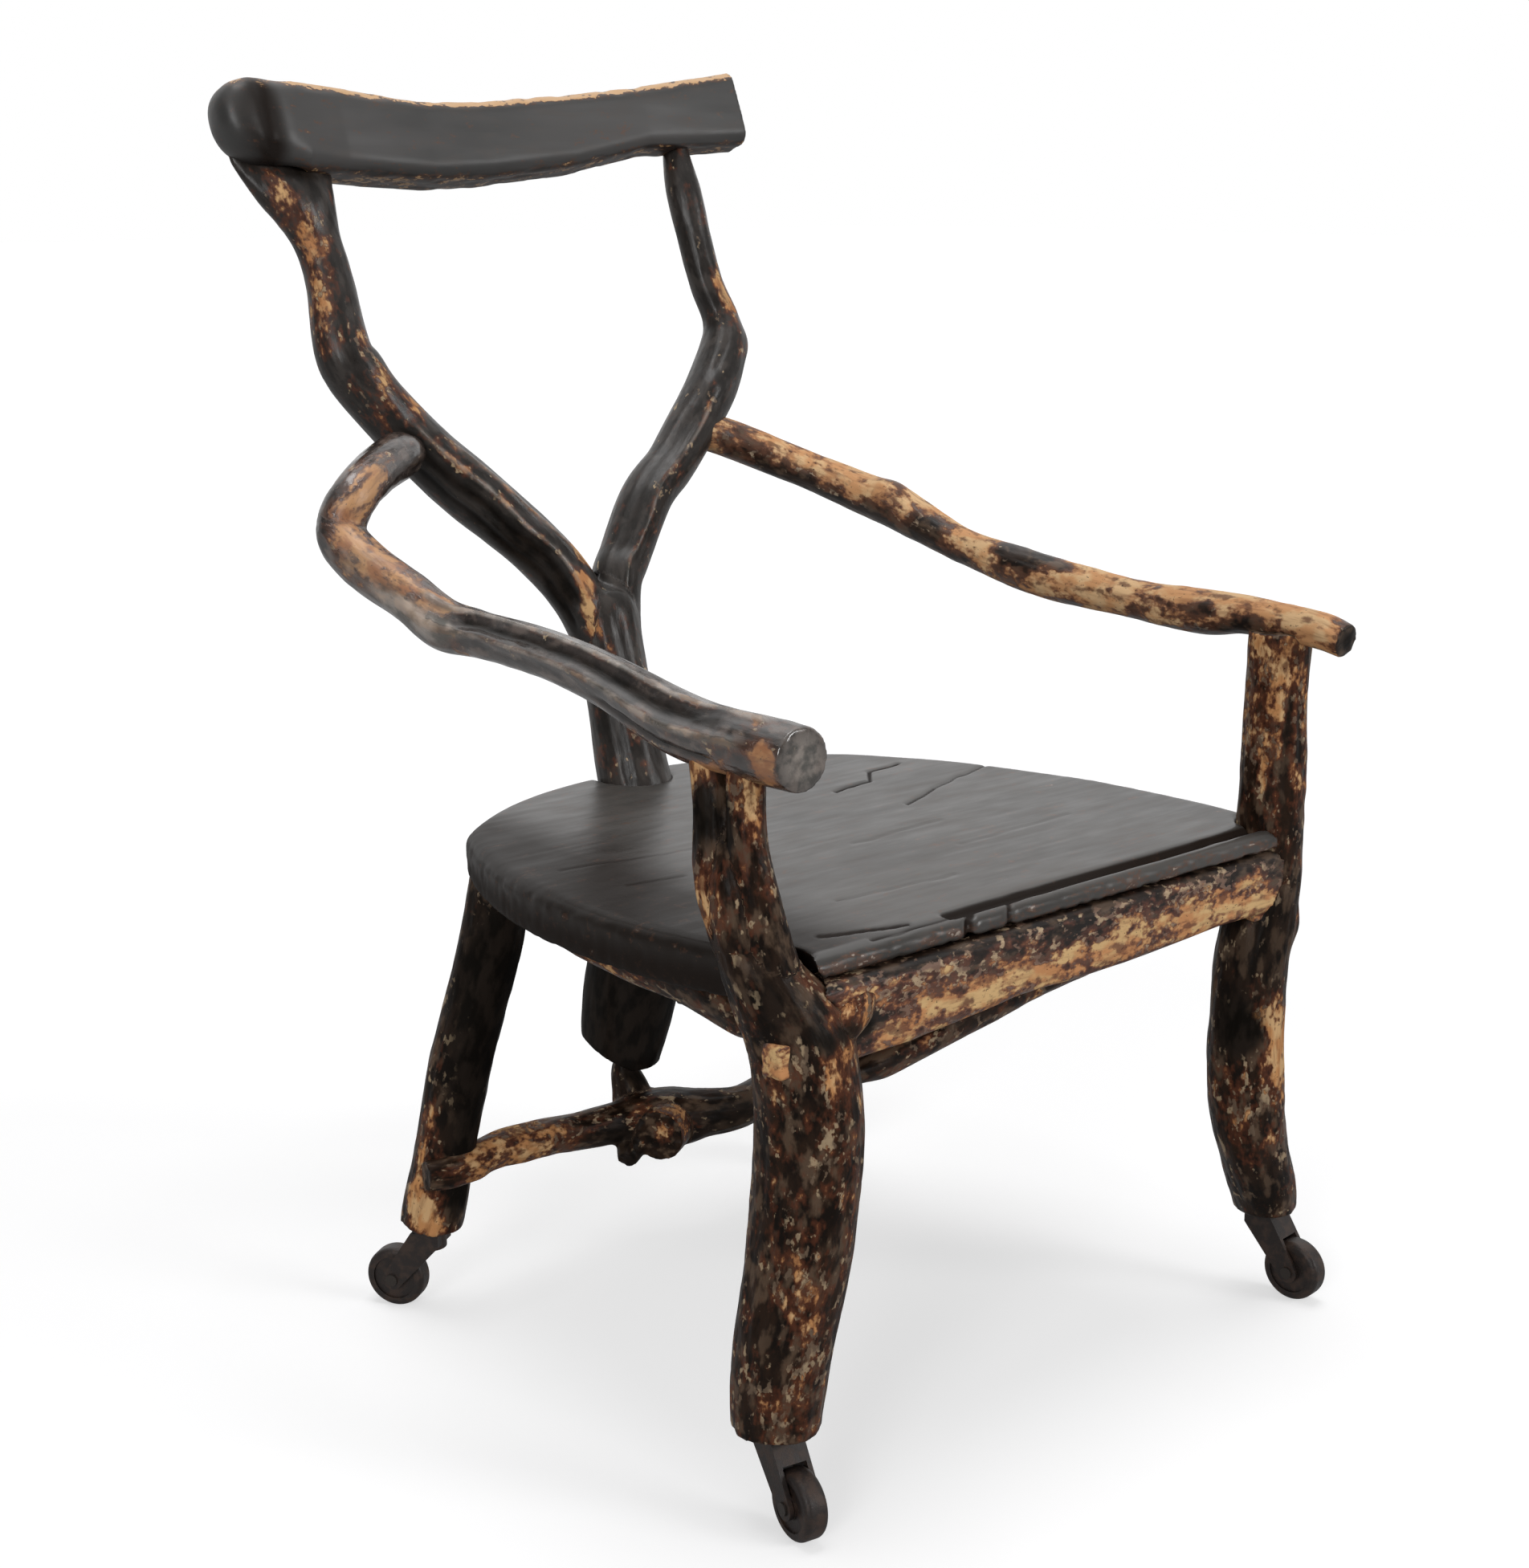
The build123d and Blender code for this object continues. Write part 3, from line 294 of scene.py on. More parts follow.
class Finish:
    """A finish being mixed: a material, or the room itself, and the nodes that make it."""

    def __init__(self, name, shelf=bpy.data.materials, surface="Principled BSDF"):
        self.material = shelf.new(name)
        self.material.use_nodes = True
        self.tree = self.material.node_tree
        self.surface = self.tree.nodes[surface]

    def feed(self, socket, value):
        if isinstance(value, Shade):
            self.tree.links.new(value.socket, socket)
        else:
            socket.default_value = value

    def node(self, kind, settings, sockets, out=0):
        made = self.tree.nodes.new(kind)
        for key, value in settings.items():
            setattr(made, key, value)
        for key, value in sockets.items():
            self.feed(made.inputs[key], value)
        return Shade(self, made.outputs[out])

    def noted(self, key, out):
        return self.node("ShaderNodeAttribute", {"attribute_name": key}, {}, out)

    def vector(self, operation, first, second, out=0):
        settings = {"operation": operation}
        return self.node("ShaderNodeVectorMath", settings, {0: first, 1: second}, out)

    def mottle(self, grain, size, stretch=1.0, detail=3.0, shift=0.0):
        """Cloudy noise about 0.5, its patches so many mm across and stretched along the grain."""
        scale = (1 / (size * MM), 1 / (size * MM), 1 / (size * MM * stretch))
        moved = self.vector("ADD", self.vector("MULTIPLY", grain, scale), (shift, shift, shift))
        sockets = {"Vector": moved, "Scale": 1.0, "Detail": detail}
        return self.node("ShaderNodeTexNoise", {}, sockets, "Fac")

    def edge(self, value, low, high):
        """0 below low, 1 above high and a soft step between."""
        settings = {"interpolation_type": "SMOOTHSTEP"}
        sockets = {"Value": value, "From Min": low, "From Max": high}
        return self.node("ShaderNodeMapRange", settings, sockets)

    def blend(self, mask, under, over):
        """The colour under where the mask is 0, and the colour over where it is 1."""
        settings = {"data_type": "RGBA"}
        return self.node("ShaderNodeMix", settings, {0: mask, 6: under, 7: over}, 2)

    def bump(self, height, strength, distance):
        """The surface as it would face with such a height, whose unit is so many mm."""
        sockets = {"Strength": strength, "Distance": distance * MM, "Height": height}
        return self.node("ShaderNodeBump", {}, sockets)

    def show(self, **sockets):
        """Sets what the surface looks like, each socket by its name with _ for a space."""
        for key, value in sockets.items():
            self.feed(self.surface.inputs[key.replace("_", " ")], value)

    def cover_with_shade(self, mask, colour):
        """Covers the surface with a dull dark layer of painted shade, as much as the mask says."""
        painted_shade = self.node("ShaderNodeBsdfDiffuse", {}, {"Color": colour})
        clean = Shade(self, self.surface.outputs[0])
        both = self.node("ShaderNodeMixShader", {}, {0: mask, 1: clean, 2: painted_shade})
        self.feed(self.tree.nodes["Material Output"].inputs["Surface"], both)


def pigment(red, green, blue):
    """A colour as it looks, from 0 to 255, turned to the light it gives back."""
    shares = [c / 255 for c in (red, green, blue)]
    light = [s / 12.92 if s < 0.0404 else ((s + 0.055) / 1.055) ** 2.4 for s in shares]
    return (*light, 1.0)


def weathered(
    name, paint, undercoat, wood, flakes,
    bareness=0.0, dullness=0.4, shine=0.3, chip=10.0, grit=0.62, bumps=1.2,
):
    """Old dark paint over bare wood: paint, the brown under it, the wood and pale flakes.

    Paint is its deep, its usual and its dusty colour, and wood its pale, middle and dark one.
    Flakes are how rare they are and two colours. Bareness wears all of it further, chip is
    how large the chips are, grit how ragged they are and bumps how far they stand out.
    """
    deep_paint, usual_paint, dusty_paint = paint
    pale_wood, middle_wood, dark_wood = wood
    rarity, dull_flake, pale_flake = flakes
    f = Finish(name)
    grain = f.noted("grain", "Vector")
    wear = f.noted("wear", "Fac")
    relief = f.noted("relief", "Fac")
    painted_shading = f.noted("painted_shading", "Fac")

    # How far each spot is worn: under 0 painted, over 0.25 bare.
    clouds = f.mottle(grain, 24, 1.8, 3.0)
    chips = f.mottle(grain, chip, 1.7, 6.0, 3.1)
    nicks = f.mottle(grain, 4.0, 1.5, 4.0, 7.7)
    cloud_share, chip_share = 0.45, 0.85
    level = bareness - 0.5 * (cloud_share + chip_share + grit)
    worn = wear + cloud_share * clouds + chip_share * chips + grit * nicks
    worn = worn + 0.12 * relief - 0.3 * painted_shading + level
    thin = f.edge(worn, -0.04, 0.20)
    bare = f.edge(worn, 0.16, 0.25)
    pale = f.edge(worn, 0.20, 0.34)

    # The bare wood, streaked, stained and specked with paint that is left.
    streak = f.mottle(grain, 4, 8.0, 5.0, 1.3)
    tone = f.mottle(grain, 13, 1.8, 4.0, 5.2)
    stain = f.mottle(grain, 9, 1.8, 5.0, 31.0)
    specks = f.mottle(grain, 2.2, 1.5, 3.0, 41.0)
    wood_now = f.blend(f.edge(tone, 0.42, 0.58), pale_wood, middle_wood)
    wood_now = f.blend(pale, dark_wood, wood_now)
    wood_now = f.blend(0.5 * f.edge(streak, 0.50, 0.70), wood_now, dark_wood)
    wood_now = f.blend(0.8 * f.edge(stain, 0.53, 0.66), wood_now, undercoat)
    wood_now = f.blend(0.8 * f.edge(specks, 0.64, 0.72), wood_now, usual_paint)

    # The paint, dusty in patches, over its undercoat and then over the wood.
    smoke = f.mottle(grain, 11, 2.0, 6.0, 15.5)
    dust = f.mottle(grain, 11, 2.0, 4.0, 51.0)
    paint_now = f.blend(f.edge(smoke, 0.40, 0.60), deep_paint, usual_paint)
    paint_now = f.blend(0.7 * f.edge(dust, 0.49, 0.64), paint_now, dusty_paint)
    colour = f.blend(0.75 * thin, paint_now, undercoat)
    colour = f.blend(bare, colour, wood_now)

    # Pale flakes that cling to the paint.
    dots = f.mottle(grain, 5.2, 1.5, 3.0, 11.9)
    sparse = f.mottle(grain, 22, 1.4, 1.0, 21.3)
    flaking = dots + 0.40 * sparse + 0.05 * relief + 0.25 * worn
    fleck = f.edge(flaking, rarity, rarity + 0.08) * (1 - bare)
    fleck_colour = f.blend(f.edge(chips, 0.46, 0.60), dull_flake, pale_flake)
    colour = f.blend(0.8 * fleck, colour, fleck_colour)

    # Painted shade, and where it is negative, a painted pale highlight.
    colour = f.blend(f.edge(painted_shading, 0.15, 1.0), colour, pigment(25, 21, 18))
    patchy = f.edge(smoke, 0.40, 0.62)
    painted_highlight = f.blend(patchy, pigment(94, 92, 85), pigment(174, 164, 154))
    colour = f.blend(0.75 * f.edge(0.0 - painted_shading, 0.15, 0.9), colour, painted_highlight)

    height = 0.45 * (1 - bare) + 0.3 * fleck + 0.35 * f.mottle(grain, 1.6, 5.0, 3.0, 2.2)
    f.show(
        Base_Color=colour,
        Roughness=dullness + 0.25 * bare + 0.3 * (nicks - 0.5),
        Normal=f.bump(height + 0.4 * chips, 0.6, bumps),
        Specular_IOR_Level=shine,
    )
    # A dull dark layer of painted shade over the surface, as much as the shading is above 0.
    painted_shade = f.blend(patchy, pigment(19, 16, 13), pigment(42, 35, 30))
    f.cover_with_shade(0.75 * f.edge(painted_shading, 0.15, 1.0), painted_shade)
    return f.material


BLACK_PAINT = (pigment(21, 13, 8), pigment(43, 29, 20), pigment(104, 84, 68))
BROWN_UNDERCOAT = pigment(94, 53, 36)
PALE_FLAKES = (0.79, pigment(112, 94, 78), pigment(178, 156, 126))
WOOD_TONES = (pigment(216, 176, 128), pigment(198, 142, 92), pigment(138, 92, 60))

leg_finish = weathered(
    "leg_paint", BLACK_PAINT, BROWN_UNDERCOAT, WOOD_TONES, PALE_FLAKES, shine=0.1
)

left_leg_sticks = [
    Stick(
        (-260, -310, LEG_FOOT, 64), (-260, -312, 101, 68), (-257, -318, 154, 71),
        (-251, -325, 216, 72), (-246, -326, 286, 73), (-250, -324, 339, 73), (-257, -319, 365, 66),
        (-269, -311, 390, 54), (-278, -303, 410, 44), (-280, -299, 426, 34),
    ),
    Stick(
        (-266, -308, 385, 44), (-275, -297, 412, 42), (-281, -288, 436, 38), (-283, -279, 458, 35),
        (-275, -266, 505, 31), (-271, -253, 552, 31), begins=330,
    ),
    Stick(
        (-266, -316, 385, 44), (-272, -312, 415, 39), (-276, -309, 450, 32), (-278, -302, 484, 28),
        (-275, -297, 516, 27), (-272, -295, 552, 28), begins=330,
    ),
    Stick(
        (-274, -304, 400, 46), (-280, -299, 430, 42), (-283, -294, 460, 34), (-280, -288, 486, 18),
        begins=345,
    ),
    Stick(
        (-252, -330, 350, 30), (-237, -340, 361, 28), (-220, -343, 371, 25), (-204, -334, 378, 20),
        begins=600,
    ),
]
front_left_leg = grown("front_left_leg_wood", *plain_skin(left_leg_sticks), 1.8)
shape_branch(
    front_left_leg, left_leg_sticks, 11, rough=1.3, low=LEG_FOOT,
    worn=[
        (-230, -352, 368, 14, 0.10), (-250, -352, 371, 9, 0.15), (-212, -350, 377, 12, 0.12),
        (-248, -358, 351, 10, 0.13), (-254, -360, 340, 9, 0.12), (-236, -356, 345, 11, 0.14),
        (-246, -360, 328, 9, 0.10), (-274, -350, 186, 18, 0.20), (-270, -350, 168, 12, 0.14),
        (-262, -345, 95, 30, 0.06), (-286, -333, 98, 30, 0.06), (-286, -262, 530, 12, 0.45),
        (-298, -276, 455, 16, 0.22), (-296, -286, 430, 14, 0.12), (-282, -309, 525, 14, 0.34),
        (-283, -314, 498, 14, 0.2), (-280, -312, 465, 12, 0.12), (-273, -338, 413, 16, 0.06),
        (-270, -352, 300, 40, 0.03),
    ],
    knots=[(-236, -354, 358, 11, 1.5), (-303, -290, 425, 14, 1.5), (-240, -355, 300, 14, 1.5)],
    # Spots of painted shade between the stems, under the seat's nose and down the leg's shaded
    # side.
    shading_spots=[
        (-291, -270, 500, 13, 1.1), (-284, -296, 492, 8, 1.0), (-284, -291, 510, 8, 1.0),
        (-290, -322, 395, 30, 0.35), (-280, -345, 385, 24, 0.3), (-283, -340, 230, 18, 0.35),
        (-287, -336, 150, 16, 0.4), (-215, -340, 345, 6, 0.8), (-254, -358, 361, 5, 0.9),
        (-243, -356, 362, 5, 0.9), (-232, -352, 361, 5, 0.7), (-262, -356, 366, 8, 0.6),
    ],
)
front_left_leg.data.materials.append(leg_finish)
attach(front_left_leg, "frame")
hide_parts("front_left_leg")


# ---------------------------------------------------------------------------------------
# Front right leg: a single oak branch from foot to arm, bowed below the seat, which it
# passes in a notch, with a knot just below the front rail's stub tenon. Painted and worn
# like the left one.
# ---------------------------------------------------------------------------------------

right_leg_sticks = [
    Stick(
        (284, -309, LEG_FOOT, 50), (274, -312, 95, 54), (255, -315, 131, 57), (241, -317, 169, 60),
        (235, -316, 233, 61), (239, -315, 298, 60), (248, -315, 344, 57), (255, -314, 365, 54),
        (255, -314, 415, 53), (255, -314, 486, 50), (255, -314, 562, 50),
    ),
]
front_right_leg = grown("front_right_leg_wood", *plain_skin(right_leg_sticks), 1.9)
shape_branch(
    front_right_leg, right_leg_sticks, 23, rough=1.4, low=LEG_FOOT,
    worn=[
        (222, -344, 264, 15, 0.34), (242, -346, 246, 18, 0.42), (246, -346, 222, 14, 0.34),
        (226, -340, 175, 36, 0.10), (231, -319, 537, 34, 0.14), (244, -338, 480, 50, 0.14),
        (262, -336, 330, 12, 0.3), (212, -330, 250, 10, 0.2),
    ],
    knots=[(266, -338, 326, 13, 3.5)],
    grooves=[(350, 470, -2.2, -2.0, 4.0, 1.8), (390, 480, -1.5, -1.7, 3.0, 1.2)],
    # Spots of painted shade on the leg's inner side, below the seat and low down.
    shading_spots=[
        (206, -322, 250, 15, 1.0), (216, -335, 246, 10, 0.8), (230, -336, 320, 45, 0.5),
        (250, -336, 106, 26, 0.35),
    ],
)
front_right_leg.data.materials.append(leg_finish)
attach(front_right_leg, "frame")
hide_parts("front_right_leg")


# ---------------------------------------------------------------------------------------
# Rear legs: two straighter oak branches that splay back and end in turned tenons, glued
# into bores in the seat. The left one is rubbed bare down its outer side.
# ---------------------------------------------------------------------------------------

rear_legs = {
    "rear_left_leg": {
        "stations": [
            (-260, 116, LEG_FOOT, 50), (-255, 112, 99, 51), (-249, 108, 135, 50),
            (-239, 99, 204, 50), (-227, 86, 270, 51), (-217, 75, 330, 51), (-214, 71, 374, 44),
        ],
        "worn": [
            (-281, 106, 104, 12, 0.55), (-272, 93, 84, 13, 0.5), (-266, 92, 225, 9, 0.3),
            (-240, 60, 240, 90, -0.1), (-270, 98, 170, 11, 0.34), (-274, 104, 140, 10, 0.25),
            (-262, 84, 118, 9, 0.2),
        ],
        # Spots of painted shade down the rear left leg below the seat.
        "shading_spots": [
            (-225, 62, 300, 26, 0.9), (-235, 76, 220, 22, 0.9), (-240, 80, 150, 20, 0.9),
            (-250, 86, 102, 13, 0.9), (-236, 60, 320, 40, 0.4), (-250, 70, 250, 30, 0.3),
            (-256, 84, 180, 24, 0.3),
        ],
    },
    "rear_right_leg": {
        "stations": [
            (160, 105, LEG_FOOT, 54), (155, 101, 108, 50), (154, 92, 177, 51), (148, 77, 258, 50),
            (139, 64, 327, 51), (135, 58, 374, 50),
        ],
        "worn": [(165, 80, 120, 18, 0.3)],
        "shading_spots": [],
    },
}
for seed, (name, leg) in enumerate(rear_legs.items(), 31):
    rear_leg_sticks = [Stick(*leg["stations"])]
    rear_leg = grown(name + "_wood", *plain_skin(rear_leg_sticks), 1.9)
    shape_branch(
        rear_leg, rear_leg_sticks, seed, rough=1.3, low=LEG_FOOT,
        worn=leg["worn"], shading_spots=leg["shading_spots"],
    )
    rear_leg.data.materials.append(leg_finish)
    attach(rear_leg, "frame")
    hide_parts(name)


# ---------------------------------------------------------------------------------------
# Thin sticks under the seat: a rung behind the front rail and a side rail on each side,
# all with round tenons in bores of the legs. The side rails are hewn flat on top, where
# the seat lies on them and is screwed down.
# ---------------------------------------------------------------------------------------

SEAT_UNDERSIDE = 371.7
thin_sticks = {
    "front_rung": [
        (-257, -326, 312, 18), (-209, -323, 316, 18), (-167, -319, 317, 24), (-60, -305, 325, 26),
        (47, -295, 332, 25), (167, -294, 344, 21), (219, -300, 350, 18), (260, -298, 353, 18),
    ],
    "left_side_rail": [
        (-252, -317, 349, 18), (-249, -284, 350, 18), (-243, -258, 352, 36), (-235, -186, 357, 40),
        (-228, -89, 356, 38), (-222, 2, 357, 30), (-220, 41, 355, 18), (-216, 82, 356, 18),
    ],
    "right_side_rail": [
        (243, -309, 330, 18), (236, -283, 332, 18), (231, -258, 338, 34), (210, -174, 356, 40),
        (183, -80, 354, 40), (155, -2, 354, 32), (145, 29, 354, 18), (134, 69, 357, 18),
    ],
}
for seed, (name, stations) in enumerate(thin_sticks.items(), 41):
    rung_sticks = [Stick(*stations, across=(0, 0, 1))]
    rung = grown(name + "_wood", *plain_skin(rung_sticks), 1.8)
    shape_branch(rung, rung_sticks, seed, wear=0.03, high=SEAT_UNDERSIDE)
    rung.data.materials.append(leg_finish)
    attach(rung, "frame")
    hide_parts(name)


# ---------------------------------------------------------------------------------------
# Rear stretcher: a thin branch with a great knot in its middle, tenoned into both rear
# legs. On the stub of its side shoot, sawn level, the foot of the back stands.
# ---------------------------------------------------------------------------------------

stretcher_sticks = [
    Stick(
        (-279, 92, 128, 24), (-256, 88, 128, 29), (-219, 96, 127, 31), (-192, 102, 126, 32),
        (-150, 107, 121, 32), (-116, 108, 117, 32), (-75, 106, 114, 38), (-58, 103, 112, 49),
        (-31, 99, 110, 52), (0, 91, 107, 46), (41, 84, 104, 40), (89, 93, 107, 34),
        (123, 101, 119, 22), (164, 100, 118, 18), across=(0, 0, 1),
    ),
    Stick(
        (-46, 116, 112, 44), (-46, 123, 132, 36), (-47, 129, 148, 27), (-47, 129, 158.7, 22),
        across=(0, 1, 0),
    ),
    Stick((-22, 100, 106, 46), (-44, 82, 107, 47), (-57, 72, 107, 45), across=(0, 0, 1)),
    Stick((-60, 100, 104, 30), (-76, 88, 92, 24), (-82, 84, 88, 18), across=(0, 0, 1)),
]
rear_stretcher = grown("rear_stretcher_wood", *plain_skin(stretcher_sticks), 1.7, 4)
shape_branch(
    rear_stretcher, stretcher_sticks, 51, rough=1.3,
    worn=[
        (-57, 68, 108, 16, 0.62), (-44, 74, 116, 12, 0.4), (-155, 92, 126, 22, 0.16),
        (-200, 86, 130, 26, 0.24), (-235, 76, 130, 16, 0.22), (-105, 92, 122, 14, 0.12),
    ],
    knots=[(-230, 78, 112, 10, 2.5), (-20, 76, 92, 16, 2.5), (-180, 88, 116, 12, 1.5)],
    # Spots of painted shade under the knot and the side shoot, and where the back's foot stands.
    shading_spots=[
        (-90, 92, 110, 14, 0.7), (-75, 84, 92, 12, 0.8), (20, 68, 104, 30, 0.6),
        (-47, 120, 150, 16, 0.9),
    ],
)
rear_stretcher.data.materials.append(leg_finish)
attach(rear_stretcher, "frame")
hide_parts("rear_stretcher")


# ---------------------------------------------------------------------------------------
# Front rail: a branch split down its length, its flat face forward, with a through tenon
# in the left leg and a stub tenon in the right. Its upper half keeps its paint, and its
# lower edge is rubbed bare.
# ---------------------------------------------------------------------------------------


def carved(node, name, voxel, rounds=5):
    """A fine skin over one of the chair's solids."""
    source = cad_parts[node].data
    corners = np.zeros(len(source.vertices) * 3)
    source.vertices.foreach_get("co", corners)
    faces = [list(face.vertices) for face in source.polygons]
    return grown(name, corners.reshape(-1, 3) / MM, faces, voxel, rounds)


front_rail = carved("front_rail", "front_rail_wood", 1.8)
places, facing = corners_of(front_rail)
grain = places[:, [1, 2, 0]]  # the grain runs from left to right
run = np.tile((1.0, 0, 0), (len(places), 1))
waves = lattice_noise(grain * (1, 1, 0.3), 20, 61)
ridges = lattice_noise(grain * (1, 1, 0.12), 5, 62)
places += facing * (0.9 * waves + 0.6 * ridges - 0.4)[:, None]
low_edge = np.clip((372 - places[:, 2]) / 20, -0.5, 1)
rail_wear = [
    (-288, -339, 349, 16, 0.22), (-226, -346, 377, 10, 0.14), (-206, -346, 379, 10, 0.12),
    (-184, -347, 352, 12, 0.28), (-158, -346, 364, 9, 0.3), (-135, -346, 352, 14, 0.24),
    (-98, -345, 356, 14, 0.26), (-70, -344, 366, 10, 0.28), (-44, -344, 356, 12, 0.22),
    (-8, -343, 362, 14, 0.24), (28, -343, 358, 12, 0.22), (52, -343, 368, 12, 0.28),
    (92, -342, 366, 16, 0.26), (128, -341, 374, 12, 0.26), (140, -341, 358, 16, 0.28),
    (178, -340, 366, 14, 0.28), (210, -339, 356, 14, 0.35),
]
# Painted shade: the top of the rail darker under the seat's nose, and a dark spot in the joint
# with the left leg.
joint_shade = [(-216, -345, 358, 8, 1.2)]
finish_skin(
    front_rail, places, grain,
    wear=0.08 * low_edge + spots(places, run, rail_wear),
    relief=0.5 * waves + 0.4 * ridges,
    painted_shading=np.clip((places[:, 2] - 386) / 10, 0, 0.4) + spots(places, run, joint_shade),
)
rail_finish = weathered(
    "rail_paint", BLACK_PAINT,
    undercoat=pigment(104, 62, 48),
    wood=(pigment(222, 184, 130), pigment(206, 146, 96), pigment(150, 98, 66)),
    flakes=(0.76, pigment(132, 104, 88), pigment(204, 178, 144)),
    bareness=0.03, chip=11.0, grit=0.6,
)
front_rail.data.materials.append(rail_finish)
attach(front_rail, "frame")
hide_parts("front_rail")


# ---------------------------------------------------------------------------------------
# Seat: one broad oak plank sawn to a D, its edge rounded over and thinned to a nose above
# the front rail. It lies on the rails and on the rear legs' tenons, painted charcoal and
# polished by use, with drying cracks along the grain.
# ---------------------------------------------------------------------------------------

seat = carved("seat_board", "seat_plank", 2.6, 4)
places, facing = corners_of(seat)
grain = places[:, [1, 2, 0]]
hollows = lattice_noise(places * (0.35, 1, 1), 60, 71)
planing = lattice_noise(places * (0.15, 1, 0.3), 16, 72)
fibres = lattice_noise(places * (0.08, 1, 1), 5, 73)
edge_chips = lattice_noise(places, 7, 75)
# Drying cracks and the groove cut behind the nose: from x, y to x, y, how deep and how wide.
seat_cuts = [
    (59, -22, 105, -14, 2.0, 2.2), (105, -14, 128, 10, 2.2, 2.2), (128, 10, 167, 13, 2.0, 2.2),
    (77, -89, 130, -66, 1.6, 2.2), (130, -66, 250, -30, 1.4, 2.0),
    (-212, -300, -150, -320, 2.0, 2.2), (-250, -60, -120, -84, 0.3, 2.0),
    (-40, -150, 60, -142, 0.7, 2.0), (-235, -120, -190, -128, 0.4, 2.0),
    (20, -204, 150, -196, 0.6, 2.0), (-150, -250, -40, -258, 0.6, 2.0),
    (-190, -327, -110, -328, 1.8, 2.4), (-112, -323, 240, -319, 6.5, 5.2),
    (-108, -338, -92, -322, 3.5, 3.5), (-66, -338, -60, -328, 2.2, 3.0),
]
cut = np.zeros(len(places))
wander = 2.5 * lattice_noise(places * (1, 0, 0), 16, 74)
for x0, y0, x1, y1, depth, width in seat_cuts:
    way = np.array((x1 - x0, y1 - y0))
    share = np.clip((places[:, :2] - (x0, y0)) @ way / (way @ way), 0, 1)
    off = places[:, :2] - (x0, y0) - share[:, None] * way
    crooked = 0.3 if depth > 3 else 1.0  # a groove is cut straighter than a crack runs
    gap = np.hypot(off[:, 0], off[:, 1] + wander * crooked)
    cut = np.maximum(cut, depth * np.exp(-((gap / width) ** 2)))
cut *= places[:, 2] > 390  # the underside has none
rim = np.clip((0.9 - facing[:, 2]) / 0.5, 0, 1)
dents = rim * np.minimum(edge_chips, 0.2)
lift = 0.7 * hollows + 0.18 * planing + 0.10 * fibres - 0.5 - cut + 0.9 * dents
places = places + facing * lift[:, None]
nose = np.clip((-322 - places[:, 1]) / 6, 0, 1)
low_rim = np.clip((398 - places[:, 2]) / 14, 0, 1) * (1 - nose)
# Painted shade: the left of the seat darker, as the shadow and the dark reflection of the arm and
# the trunk; the rim and its lower edge darker, less on the nose; the cracks and the groove darker
# too.
painted_left_shade = 0.7 * np.clip((-110 - places[:, 0]) / 110, 0, 1) * (1 - nose) * (1 - 0.45 * rim)
painted_rim_shade = 0.3 * rim * (1 - nose) + 0.30 * low_rim - 0.25 * nose
finish_skin(
    seat, places, grain,
    wear=0.02 * rim + 0.10 * nose * rim,
    relief=0.4 * planing,
    painted_shading=np.minimum(0.55 * cut, 1.3) + painted_rim_shade + painted_left_shade,
)


def satin(name, dark, light, edge_wood, lines_share=0.12, dullness=0.22):
    """Charcoal paint rubbed to a satin shine, brown where it has rubbed thin."""
    f = Finish(name)
    grain = f.noted("grain", "Vector")
    relief = f.noted("relief", "Fac")
    wear = f.noted("wear", "Fac")
    painted_shading = f.noted("painted_shading", "Fac")
    broad = f.mottle(grain, 60, 2.5, 3.0)
    lines = f.mottle(grain, 5, 14.0, 5.0, 1.7)
    scuffs = f.mottle(grain, 14, 3.0, 5.0, 12.0)
    # The colour of the painted shade.
    painted_shade = pigment(30, 23, 19)
    colour = f.blend(f.edge(broad, 0.35, 0.65), dark, light)
    colour = f.blend(lines_share * f.edge(lines, 0.5, 0.75), colour, pigment(30, 27, 25))
    colour = f.blend(0.3 * f.edge(scuffs, 0.5, 0.7), colour, pigment(74, 64, 58))
    # Painted shade mixed into the colour.
    colour = f.blend(0.8 * f.edge(painted_shading, 0.15, 0.8), colour, painted_shade)
    chips, nicks = f.mottle(grain, 8, 2.0, 6.0, 4.4), f.mottle(grain, 2.6, 1.6, 4.0, 9.1)
    worn = wear + 0.7 * chips + 0.45 * nicks + 0.1 * relief
    colour = f.blend(0.85 * f.edge(worn, 0.66, 0.78), colour, pigment(86, 60, 46))
    colour = f.blend(f.edge(worn, 0.80, 0.86), colour, edge_wood)
    fine = f.mottle(grain, 1.5, 8.0, 2.0, 6.0)
    f.show(
        Base_Color=colour,
        Roughness=dullness + 0.12 * broad + 0.10 * lines + 0.25 * (scuffs - 0.4),
        Normal=f.bump(0.16 * lines + 0.06 * fine + 0.35 * scuffs, 0.3, 1.0),
    )
    # Painted shade laid over as a dull dark layer.
    f.cover_with_shade(0.8 * f.edge(painted_shading, 0.25, 1.0), painted_shade)
    return f.material


seat_finish = satin(
    "seat_charcoal", pigment(52, 49, 46), pigment(72, 69, 66), edge_wood=pigment(156, 142, 130)
)
seat.data.materials.append(seat_finish)
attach(seat, "frame")
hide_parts("seat_board")


# ---------------------------------------------------------------------------------------
# Back: one forked branch of oak. The trunk stands in a notch of the seat, its foot sawn off
# below it on the stretcher's stub and spiked there. Above the seat it parts into two tines,
# which take the arms' tenons and end in the crest.
# ---------------------------------------------------------------------------------------

